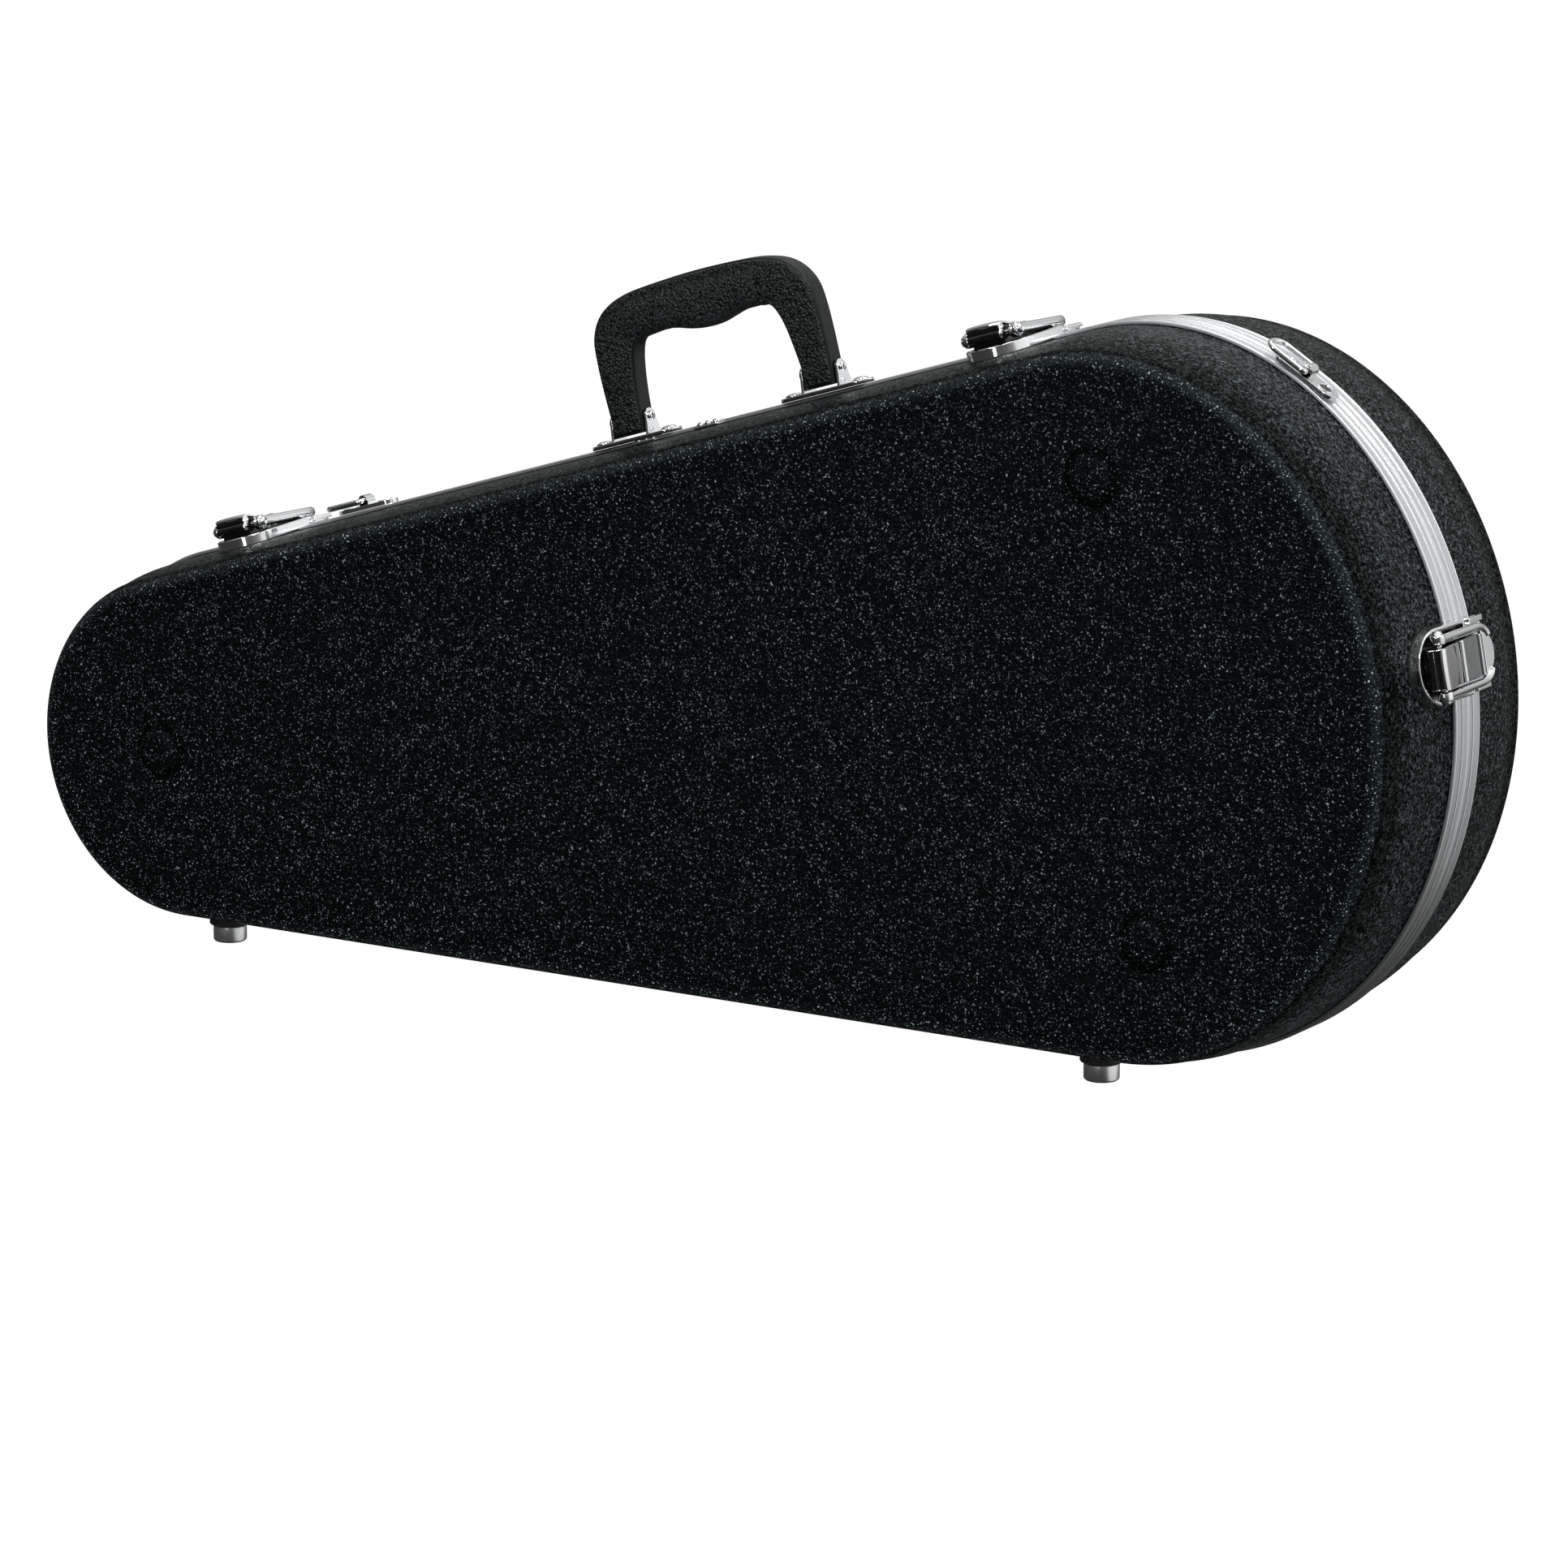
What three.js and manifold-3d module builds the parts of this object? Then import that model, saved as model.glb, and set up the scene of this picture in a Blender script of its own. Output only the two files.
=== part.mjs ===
// Hard violin case of the long teardrop kind, standing on its lower edge.
// X runs along the case, the base half faces -Y, the lid half faces +Y and Z is up. Millimetres.
import * as THREE from "three";
import { mergeVertices } from "three/addons/utils/BufferGeometryUtils.js";
import Module from "manifold-3d";

const wasm = await Module();
wasm.setup();

// Outline: the hull of two ellipses on one axis.
const BIG = { centre: 0, along: 153.4, across: 177.2 };
const SMALL = { centre: -557.4, along: 94.6, across: 96.3 };
const BIG_STEPS = 24;
const SMALL_STEPS = 12;

// Depths from the seam plane to the face, and insets of the wall from the outline.
const FACE_DEPTH = 73.5;
const SKIN = 3;
const SHELL_OUTSIDE = [
  [2.1, 2.1],
  [2.1, 13.2],
  [3.1, 40],
  [4.3, 49],
  [6.1, 58],
  [6.5, 64.5],
  [9, 70.5],
  [15.5, FACE_DEPTH],
];
const SHELL_INSIDE = [
  [16, FACE_DEPTH - SKIN],
  [11.6, 68.4],
  [9.3, 60],
  [6.3, 43],
  [5.1, 14],
  [5.1, 2.1],
];
const BUMP_RADIUS = 12;
const BUMP_HEIGHT = 2.5;
const BUMPS = [
  [-565.6, 0],
  [8.7, 110.2],
  [8.7, -110.2],
];

// Valance: a channel that grips the rim of the shell.
const SEAM_GAP = 0.2;
const VALANCE_DEPTH = 12.5;
const VALANCE = [
  [0, SEAM_GAP],
  [0, VALANCE_DEPTH],
  [1.7, VALANCE_DEPTH],
  [1.7, 1.8],
  [5.5, 1.8],
  [5.5, 9],
  [7, 9],
  [7, SEAM_GAP],
];

// Padding inside the two shells.
const LINER_OUTSIDE = [
  [7.5, 4],
  [7.5, 14],
  [9, 45],
  [10.4, 61],
  [13, 66.6],
  [18, 69.8],
];
const WELL_FLOOR = 54;
const LOWER_BOUT = { at: 12, radius: 108 };
const UPPER_BOUT = { at: -146, radius: 88 };
const WAIST_HALF = 70;
const CHANNEL_HALF = 30;
const CHANNEL_END = -476;
const SCROLL = { at: -456, radius: 36 };
const COMPARTMENT = { from: -430, to: -278, near: 44, far: 88 };
const END_POCKET = { from: -616, to: -512, half: 44 };
const LID_WALL_INSET = 18;
const LID_CAVITY = 60;

const GAP = 0.3;

function material(color, roughness, metalness) {
  return new THREE.MeshStandardMaterial({ color, roughness, metalness });
}

const LOOKS = {
  shell: [0x17181a, 0.42, 0],
  aluminium: [0xc9cacb, 0.32, 1],
  chrome: [0xdedede, 0.12, 1],
  steel: [0x9b9d9f, 0.38, 1],
  rubber: [0x121212, 0.8, 0],
  leather: [0x1a1a1b, 0.5, 0],
  grip: [0x1d1d1e, 0.55, 0],
  plush: [0x5c1420, 0.95, 0],
  plastic: [0x1b1b1b, 0.45, 0],
};

function solid(geometry) {
  geometry.deleteAttribute("normal");
  if (geometry.getAttribute("uv")) {
    geometry.deleteAttribute("uv");
  }
  const merged = mergeVertices(geometry, 1e-4);
  return new wasm.Manifold(
    new wasm.Mesh({
      numProp: 3,
      vertProperties: merged.attributes.position.array,
      triVerts: new Uint32Array(merged.index.array),
    }),
  );
}

function geometryOf(made) {
  const mesh = made.getMesh();
  const positions = new THREE.BufferAttribute(mesh.vertProperties, 3);
  const geometry = new THREE.BufferGeometry();
  geometry.setAttribute("position", positions);
  geometry.setIndex(new THREE.BufferAttribute(mesh.triVerts, 1));
  geometry.computeVertexNormals();
  return geometry;
}

function add(parent, name, made, look) {
  const mesh = new THREE.Mesh(geometryOf(made), material(...LOOKS[look]));
  mesh.name = name;
  parent.add(mesh);
  return mesh;
}

function union(pieces) {
  return pieces.reduce((whole, piece) => whole.add(piece));
}

function block(x0, x1, y0, y1, z0, z1) {
  const box = new THREE.BoxGeometry(x1 - x0, y1 - y0, z1 - z0);
  box.translate((x0 + x1) / 2, (y0 + y1) / 2, (z0 + z1) / 2);
  return solid(box);
}

// A rod between two points.
function rod(from, to, radius, sides = 12) {
  const start = new THREE.Vector3(...from);
  const end = new THREE.Vector3(...to);
  const run = end.clone().sub(start);
  const cylinder = new THREE.CylinderGeometry(radius, radius, run.length(), sides);
  const up = new THREE.Vector3(0, 1, 0);
  const turn = new THREE.Quaternion().setFromUnitVectors(up, run.clone().normalize());
  cylinder.applyQuaternion(turn);
  const middle = start.add(end).multiplyScalar(0.5);
  cylinder.translate(middle.x, middle.y, middle.z);
  return solid(cylinder);
}

function ball(x, y, z, radius) {
  const sphere = new THREE.SphereGeometry(radius, 10, 6);
  sphere.translate(x, y, z);
  return solid(sphere);
}

function shapeOf(points) {
  return new THREE.Shape(points.map(([x, y]) => new THREE.Vector2(x, y)));
}

// An outline in X and Y, pulled along Z.
function prismZ(shape, z0, z1) {
  const geometry = new THREE.ExtrudeGeometry(shape, {
    depth: z1 - z0,
    bevelEnabled: false,
    curveSegments: 10,
  });
  geometry.translate(0, 0, z0);
  return solid(geometry);
}

// An outline in Y and Z, pulled along X.
function prismX(points, x0, x1) {
  const geometry = new THREE.ExtrudeGeometry(shapeOf(points), {
    depth: x1 - x0,
    bevelEnabled: false,
    curveSegments: 8,
  });
  const turn = new THREE.Matrix4().makeBasis(
    new THREE.Vector3(0, 1, 0),
    new THREE.Vector3(0, 0, 1),
    new THREE.Vector3(1, 0, 0),
  );
  geometry.applyMatrix4(turn);
  geometry.translate(x0, 0, 0);
  return solid(geometry);
}

// An outline in Z and X, pulled along Y.
function prismY(shape, y0, y1) {
  const geometry = new THREE.ExtrudeGeometry(shape, {
    depth: y1 - y0,
    bevelEnabled: false,
    curveSegments: 8,
  });
  const turn = new THREE.Matrix4().makeBasis(
    new THREE.Vector3(0, 0, 1),
    new THREE.Vector3(1, 0, 0),
    new THREE.Vector3(0, 1, 0),
  );
  geometry.applyMatrix4(turn);
  geometry.translate(0, y0, 0);
  return solid(geometry);
}

function reach(end, phi) {
  return Math.hypot(end.along * Math.cos(phi), end.across * Math.sin(phi));
}

// The point of an ellipse whose outward normal is at angle phi, moved in by inset.
function outlinePoint(end, phi, inset = 0) {
  const size = reach(end, phi);
  const x = end.centre + (end.along ** 2 / size - inset) * Math.cos(phi);
  const y = (end.across ** 2 / size - inset) * Math.sin(phi);
  return new THREE.Vector2(x, y);
}

// The normal of the straight edge that touches both ellipses.
function tangentNormal() {
  let low = Math.PI / 2;
  let high = low + 0.5;
  for (let step = 0; step < 50; step++) {
    const phi = (low + high) / 2;
    const big = reach(BIG, phi);
    const small = reach(SMALL, phi) + SMALL.centre * Math.cos(phi);
    if (big > small) {
      low = phi;
    } else {
      high = phi;
    }
  }
  return low;
}

const EDGE_NORMAL = tangentNormal();
const TILT = EDGE_NORMAL - Math.PI / 2;

function stations() {
  const list = [];
  for (let i = 0; i <= BIG_STEPS; i++) {
    list.push([BIG, EDGE_NORMAL * ((2 * i) / BIG_STEPS - 1)]);
  }
  for (let i = 0; i <= SMALL_STEPS; i++) {
    const sweep = 2 * (Math.PI - EDGE_NORMAL);
    list.push([SMALL, EDGE_NORMAL + (sweep * i) / SMALL_STEPS]);
  }
  return list;
}

const STATIONS = stations();

// A skin through copies of the outline, each set in and set deep by one row of the profile.
// A ring profile closes on itself; any other is closed by a fan at each end.
function loft(profile, ring, side = 1) {
  const count = STATIONS.length;
  const positions = [];
  const faces = [];
  for (const [inset, depth] of profile) {
    for (const [end, phi] of STATIONS) {
      const point = outlinePoint(end, phi, inset);
      positions.push(point.x, point.y, side * depth);
    }
  }
  const bands = ring ? profile.length : profile.length - 1;
  for (let i = 0; i < bands; i++) {
    const low = i * count;
    const high = ((i + 1) % profile.length) * count;
    for (let j = 0; j < count; j++) {
      const next = (j + 1) % count;
      faces.push(low + j, low + next, high + next);
      faces.push(low + j, high + next, high + j);
    }
  }
  if (!ring) {
    const last = (profile.length - 1) * count;
    const middle = SMALL.centre / 3;
    const first = positions.length / 3;
    positions.push(middle, 0, side * profile[0][1]);
    positions.push(middle, 0, side * profile[profile.length - 1][1]);
    for (let j = 0; j < count; j++) {
      const next = (j + 1) % count;
      faces.push(first, next, j);
      faces.push(first + 1, last + j, last + next);
    }
  }
  const triVerts = new Uint32Array(faces);
  const vertProperties = new Float32Array(positions);
  const made = new wasm.Manifold(new wasm.Mesh({ numProp: 3, vertProperties, triVerts }));
  if (made.volume() > 0) {
    return made;
  }
  for (let i = 0; i < triVerts.length; i += 3) {
    [triVerts[i], triVerts[i + 1]] = [triVerts[i + 1], triVerts[i]];
  }
  return new wasm.Manifold(new wasm.Mesh({ numProp: 3, vertProperties, triVerts }));
}

const group = new THREE.Group();

// The deck lies in the seam plane with the case's own axis as X; Z points to the base's face.
const deck = new THREE.Group();
deck.rotation.set(Math.PI / 2, 0, TILT);
group.add(deck);

// A frame on the rim: X along the edge, Y outward, Z to the base's face.
function edgeFrame(end, phi, along = 0) {
  const frame = new THREE.Group();
  const point = outlinePoint(end, phi);
  frame.position.set(point.x + along * Math.sin(phi), point.y - along * Math.cos(phi), 0);
  frame.rotation.z = phi - Math.PI / 2;
  deck.add(frame);
  return frame;
}

// Shells and valances.
function shell(side) {
  const body = loft([...SHELL_OUTSIDE, ...SHELL_INSIDE], true, side);
  const rows = SHELL_OUTSIDE.length;
  const cap = loft([SHELL_OUTSIDE[rows - 1], SHELL_INSIDE[0]], false, side);
  const bumps = BUMPS.map(([x, y]) => {
    const dome = new THREE.CylinderGeometry(BUMP_RADIUS - 1.2, BUMP_RADIUS, BUMP_HEIGHT + 1, 20);
    dome.rotateX((side * Math.PI) / 2);
    dome.translate(x, y, side * (FACE_DEPTH + (BUMP_HEIGHT - 1) / 2));
    return solid(dome);
  });
  return union([body, cap, ...bumps]);
}

add(deck, "base_shell", shell(1), "shell");
add(deck, "lid_shell", shell(-1), "shell");
add(deck, "base_valance", loft(VALANCE, true, 1), "aluminium");
add(deck, "lid_valance", loft(VALANCE, true, -1), "aluminium");

// Base liner: a violin-shaped well, a neck channel, a scroll room and three pockets.
function baseLiner() {
  const top = -1;
  const bouts = [LOWER_BOUT, UPPER_BOUT].map(({ at, radius }) =>
    rod([at, 0, top], [at, 0, WELL_FLOOR], radius, 40),
  );
  const waist = block(UPPER_BOUT.at, LOWER_BOUT.at, -WAIST_HALF, WAIST_HALF, top, WELL_FLOOR);
  const channel = block(CHANNEL_END, -200, -CHANNEL_HALF, CHANNEL_HALF, top, WELL_FLOOR);
  const scroll = rod([SCROLL.at, 0, top], [SCROLL.at, 0, WELL_FLOOR], SCROLL.radius, 28);
  const { from, to, near, far } = COMPARTMENT;
  const upper = block(from, to, near, far, top, WELL_FLOOR);
  const lower = block(from, to, -far, -near, top, WELL_FLOOR);
  const { half } = END_POCKET;
  const pocket = block(END_POCKET.from, END_POCKET.to, -half, half, top, WELL_FLOOR);
  const cuts = union([...bouts, waist, channel, scroll, upper, lower, pocket]);
  return loft(LINER_OUTSIDE, false, 1).subtract(cuts);
}

add(deck, "base_liner", baseLiner(), "plush");

// Neck cradle: a padded block with a round notch that carries the neck.
const CRADLE = { from: -262, to: -236, top: 20, notch: 15, notchDepth: 26 };
const cradleHalf = CHANNEL_HALF - GAP;
const cradleBlock = block(
  CRADLE.from,
  CRADLE.to,
  -cradleHalf,
  cradleHalf,
  CRADLE.top,
  WELL_FLOOR - GAP,
);
const neckNotch = rod(
  [CRADLE.from - 1, 0, CRADLE.notchDepth],
  [CRADLE.to + 1, 0, CRADLE.notchDepth],
  CRADLE.notch,
  24,
);
const neckSlot = block(
  CRADLE.from - 1,
  CRADLE.to + 1,
  -CRADLE.notch,
  CRADLE.notch,
  CRADLE.top - 1,
  CRADLE.notchDepth,
);
add(deck, "neck_cradle", cradleBlock.subtract(neckNotch).subtract(neckSlot), "plush");

// Lids of the two side compartments, hinged beside the neck, each with a pull tab.
const FLAP_TOP = 0.8;
const FLAP_UNDER = 3.6;
const FLAP_OVER = 3;
for (const [name, side] of [
  ["upper", 1],
  ["lower", -1],
]) {
  const hingeLine = side * (COMPARTMENT.near - 2 * FLAP_OVER);
  const freeEdge = side * (COMPARTMENT.far + FLAP_OVER);
  const tabEdge = side * (COMPARTMENT.far + 3 * FLAP_OVER);
  const from = COMPARTMENT.from - FLAP_OVER;
  const to = COMPARTMENT.to + FLAP_OVER;
  const middle = (from + to) / 2;
  const shape = shapeOf([
    [from, hingeLine],
    [to, hingeLine],
    [to, freeEdge],
    [middle + 9, freeEdge],
    [middle + 6, tabEdge],
    [middle - 6, tabEdge],
    [middle - 9, freeEdge],
    [from, freeEdge],
  ]);
  add(deck, "compartment_lid_" + name, prismZ(shape, FLAP_TOP, FLAP_UNDER), "plush");
}

// Lid liner: a padded tray.
function lidLiner() {
  const cavity = loft(
    [
      [LID_WALL_INSET, -1],
      [LID_WALL_INSET + 2, LID_CAVITY - 8],
      [LID_WALL_INSET + 9, LID_CAVITY],
    ],
    false,
    -1,
  );
  return loft(LINER_OUTSIDE, false, -1).subtract(cavity);
}

add(deck, "lid_liner", lidLiner(), "plush");

// Turn buttons that hold the bows in the lid.
const BOW_CLIP = { x: 66, y: 46, foot: 9, stem: 4.5, half: 23, width: 6.5 };
for (const [name, side] of [
  ["upper", 1],
  ["lower", -1],
]) {
  const { foot, stem, half, width } = BOW_CLIP;
  const floor = -(LID_CAVITY - GAP);
  const base = rod([0, 0, floor], [0, 0, floor + 4], foot, 20);
  const post = rod([0, 0, floor + 3], [0, 0, floor + 13], stem, 16);
  const bar = union([
    block(-half, half, -width, width, floor + 12, floor + 17),
    rod([-half, 0, floor + 12], [-half, 0, floor + 17], width, 16),
    rod([half, 0, floor + 12], [half, 0, floor + 17], width, 16),
  ]);
  const clip = add(deck, "bow_clip_" + name, union([base, post, bar]), "plastic");
  clip.position.set(BOW_CLIP.x, side * BOW_CLIP.y, 0);
}

// Hinges along the lower edge.
const HINGE_PLACES = [62.5, 272.5, 482.5];
const HINGE = { half: 20, barrel: 2.2, pin: 1.2, axisOut: 2.6, leafEnd: 12, knuckle: 6.5 };
HINGE_PLACES.forEach((along, index) => {
  const frame = edgeFrame(BIG, -EDGE_NORMAL, along);
  const number = index + 1;
  const { half, barrel, pin, axisOut, leafEnd, knuckle } = HINGE;
  const inner = knuckle + GAP;
  const spans = { base: [[-half, -inner], [inner, half]], lid: [[-knuckle, knuckle]] };
  const rooms = { base: [[-inner, inner]], lid: [[-half - 1, -knuckle], [knuckle, half + 1]] };
  for (const [name, side] of [
    ["base", 1],
    ["lid", -1],
  ]) {
    const plate = block(
      -half,
      half,
      0.35,
      1.55,
      Math.min(side * 0.4, side * leafEnd),
      Math.max(side * 0.4, side * leafEnd),
    );
    const room = rooms[name].map(([a, b]) =>
      rod([a, axisOut, 0], [b, axisOut, 0], barrel + 0.4),
    );
    const knuckles = spans[name].map(([a, b]) =>
      rod([a, axisOut, 0], [b, axisOut, 0], barrel),
    );
    const webs = spans[name].map(([a, b]) =>
      block(a, b, 0.4, 1.55, Math.min(0, side * 3), Math.max(0, side * 3)),
    );
    const bore = rod([-half - 1, axisOut, 0], [half + 1, axisOut, 0], pin + GAP);
    const leaf = union([plate.subtract(union(room)), ...knuckles, ...webs]).subtract(bore);
    add(frame, "hinge_" + name + "_leaf_" + number, leaf, "chrome");
  }
  const pinRod = rod([-half - 0.4, axisOut, 0], [half + 0.4, axisOut, 0], pin);
  const heads = [-1, 1].map((end) =>
    rod([end * (half + 0.3), axisOut, 0], [end * (half + 1.3), axisOut, 0], pin + 0.8),
  );
  add(frame, "hinge_pin_" + number, union([pinRod, ...heads]), "chrome");
});

// Feet: a metal cup on a rubber pad, two on each half.
const FOOT_PLACES = [14.9, 537.1];
const FOOT_DEPTH = 55;
const FOOT_DROP = 6.2;
FOOT_PLACES.forEach((along, index) => {
  for (const [name, side] of [
    ["base", 1],
    ["lid", -1],
  ]) {
    const frame = edgeFrame(BIG, -EDGE_NORMAL, along);
    const padPoints = [
      [0, -3.2],
      [10.4, -3.2],
      [10.8, -2.8],
      [10.8, -1.8],
      [10, -1.1],
      [0, -1.1],
    ];
    const cupPoints = [
      [0, -0.8],
      [8.2, -0.8],
      [8.7, 0.4],
      [8.5, 4.6],
      [7.2, FOOT_DROP],
      [4.6, FOOT_DROP],
      [3.9, FOOT_DROP - 1.2],
      [0, FOOT_DROP - 1.2],
    ];
    const pad = new THREE.LatheGeometry(padPoints.map(([r, y]) => new THREE.Vector2(r, y)), 20);
    const cup = new THREE.LatheGeometry(cupPoints.map(([r, y]) => new THREE.Vector2(r, y)), 20);
    const suffix = name + "_" + (index + 1);
    add(frame, "foot_pad_" + suffix, solid(pad), "rubber").position.z = side * FOOT_DEPTH;
    add(frame, "foot_cup_" + suffix, solid(cup), "chrome").position.z = side * FOOT_DEPTH;
  }
});

// Latches: a round-nosed base plate on a backing pad, a railed lever on a barrel pin,
// a hasp plate in the lever's window and a catch plate on the lid.
const LATCH = { half: 19, start: 1, shoulder: 27, nose: 47, rim: 5, pinDepth: 36.5, pinOut: 7 };
const HOUSING_HALF = 7.7;
const LEVER = { half: 13.6, end: -21, under: 5.7, top: 7.1, rail: 2.2, windowHalf: 8 };
const HASP = { half: 7.2, from: 15.6, to: -15, under: 5.2, top: 6.6, link: 1.2, linkOut: 7.7 };
const LATCHES = [
  ["left", BIG, EDGE_NORMAL, -508],
  ["right", BIG, EDGE_NORMAL, -38],
  ["end", BIG, THREE.MathUtils.degToRad(2.3), 0],
];

// A plan with a straight front at z0 and a half-round nose that ends at z2; points are [z, x].
function noseShape(half, z0, z1, z2) {
  const shape = new THREE.Shape();
  shape.moveTo(z0, -half);
  shape.lineTo(z1, -half);
  shape.absellipse(z1, 0, z2 - z1, half, -Math.PI / 2, Math.PI / 2, false, 0);
  shape.lineTo(z0, half);
  shape.closePath();
  return shape;
}

for (const [name, end, phi, along] of LATCHES) {
  const frame = edgeFrame(end, phi, along);
  const { half, start, shoulder, nose, rim, pinDepth, pinOut } = LATCH;

  const wedge = prismX(
    [
      [-1.7, 13.3],
      [0, 13.3],
      [0, nose + 3],
      [-3.9, nose + 3],
      [-2.8, 40],
    ],
    -half - 2,
    half + 2,
  );
  const padPlan = prismY(noseShape(half + 1, 10, shoulder, nose + 1.5), -8, 2);
  add(frame, "latch_pad_" + name, wedge.intersect(padPlan), "rubber");

  const outer = prismY(noseShape(half, start, shoulder, nose), GAP, rim);
  const recess = prismY(noseShape(half - 2.2, start + 2.2, shoulder, nose - 2.2), 1.8, rim + 1);
  const housing = prismX(
    [
      [1, 24],
      [8.6, 20.6],
      [10, 24],
      [13, 42],
      [12.2, 44.6],
      [8, 46],
      [1, 46],
    ],
    -HOUSING_HALF,
    HOUSING_HALF,
  );
  const pinBore = rod([-half, pinOut, pinDepth], [half, pinOut, pinDepth], 1.9);
  const plate = union([outer.subtract(recess), housing]).subtract(pinBore);
  add(frame, "latch_plate_" + name, plate, "chrome");

  const headAt = LEVER.half + 1.8;
  const pin = union([
    rod([-headAt, pinOut, pinDepth], [headAt, pinOut, pinDepth], 1.6),
    rod([-headAt - 1.6, pinOut, pinDepth], [-headAt, pinOut, pinDepth], 1.7),
    rod([headAt, pinOut, pinDepth], [headAt + 1.6, pinOut, pinDepth], 1.7),
  ]);
  add(frame, "latch_pin_" + name, pin, "chrome");


  const sheet = prismY(
    noseShape(LEVER.half, -pinDepth, -LEVER.end - 9, -LEVER.end),
    LEVER.under,
    LEVER.top,
  ).rotate([0, 180, 0]);
  const lip = prismX(
    [
      [LEVER.under, LEVER.end + 1],
      [LEVER.top, LEVER.end + 1],
      [LEVER.top + 2.4, LEVER.end - 1.6],
      [LEVER.under + 2.4, LEVER.end - 1.6],
    ],
    -6,
    6,
  );
  const rails = [-1, 1].map((side) => {
    const x = side * (LEVER.half - 0.8);
    return rod([x, LEVER.top + 0.6, pinDepth], [x, LEVER.top + 0.6, LEVER.end + 8], LEVER.rail);
  });
  const window = union([
    block(-LEVER.windowHalf, LEVER.windowHalf, 0, 20, HASP.to - 0.6, pinDepth + 5),
    block(-10.5, 10.5, 0, 20, HASP.from - 1.7, HASP.from + 1.7),
    rod([-11.9, HASP.linkOut, HASP.from], [11.9, HASP.linkOut, HASP.from], HASP.link + GAP),
  ]);
  const leverBore = rod([-half, pinOut, pinDepth], [half, pinOut, pinDepth], 1.9);
  const lever = union([sheet, lip, ...rails]).subtract(window).subtract(leverBore);
  add(frame, "latch_lever_" + name, lever, "chrome");

  const link = union([
    rod([-11.6, HASP.linkOut, HASP.from], [11.6, HASP.linkOut, HASP.from], HASP.link),
    block(-HASP.half, HASP.half, HASP.under, HASP.linkOut, HASP.from - 1, HASP.from + 1),
  ]);
  const haspPlate = block(-HASP.half, HASP.half, HASP.under, HASP.top, HASP.to, HASP.from);
  const haspLip = block(-HASP.half, HASP.half, 3.5, HASP.under + 0.5, HASP.to, HASP.to + 1.6);
  const hump = prismX(
    [
      [HASP.top - 0.2, HASP.from - 5],
      [HASP.top + 2.2, HASP.from - 9],
      [HASP.top + 2.2, HASP.to + 9],
      [HASP.top - 0.2, HASP.to + 4],
    ],
    -HASP.half + 1,
    HASP.half - 1,
  );
  add(frame, "latch_hasp_" + name, union([link, haspPlate, haspLip, hump]), "steel");

  const catchPlate = prismY(noseShape(half - 2, 1, 14, 20), GAP, 1.6).rotate([0, 180, 0]);
  const hook = prismX(
    [
      [1.4, -13],
      [3.1, -13],
      [3.1, -10.6],
      [1.4, -8.6],
    ],
    -6,
    6,
  );
  add(frame, "latch_catch_" + name, union([catchPlate, hook]), "chrome");
}

// Handle: a stitched core on two pins between the ears of two riveted brackets, with a grip sleeve.
const HANDLE_MIDDLE = -213;
const LEG = 58.5;
const LEG_HALF = 11.4;
const PIVOT = { out: 10.9, depth: 8 };
const BAR = { under: 50, top: 71.2, half: 5.5 };
const BRACKET_HALF = 26.5;
const handleFrame = edgeFrame(BIG, EDGE_NORMAL, HANDLE_MIDDLE);

for (const [name, side] of [
  ["left", -1],
  ["right", 1],
]) {
  const leg = side * LEG;
  const end = BRACKET_HALF - 7.4;
  const plate = union([
    block(leg - end, leg + end, GAP, 1.6, 0.6, 15.4),
    rod([leg - end, GAP, PIVOT.depth], [leg - end, 1.6, PIVOT.depth], 7.4, 24),
    rod([leg + end, GAP, PIVOT.depth], [leg + end, 1.6, PIVOT.depth], 7.4, 24),
  ]);
  const ears = [-1, 1].map((ear) => {
    const near = leg + ear * (LEG_HALF + 0.5);
    const far = leg + ear * (LEG_HALF + 2.3);
    const a = Math.min(near, far);
    const b = Math.max(near, far);
    return union([
      block(a, b, 1, PIVOT.out, PIVOT.depth - 4.8, PIVOT.depth + 4.8),
      rod([a, PIVOT.out, PIVOT.depth], [b, PIVOT.out, PIVOT.depth], 4.8, 16),
    ]);
  });
  const bore = rod([leg - 30, PIVOT.out, PIVOT.depth], [leg + 30, PIVOT.out, PIVOT.depth], 1.9);
  const bracket = union([plate, ...ears]).subtract(bore);
  add(handleFrame, "handle_bracket_" + name, bracket, "chrome");

  const reachOut = LEG_HALF + 4.6;
  const pin = union([
    rod(
      [leg - reachOut, PIVOT.out, PIVOT.depth],
      [leg + reachOut, PIVOT.out, PIVOT.depth],
      1.6,
    ),
    ball(leg - reachOut, PIVOT.out, PIVOT.depth, 2.5),
    ball(leg + reachOut, PIVOT.out, PIVOT.depth, 2.5),
  ]);
  add(handleFrame, "handle_pin_" + name, pin, "chrome");
}

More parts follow.
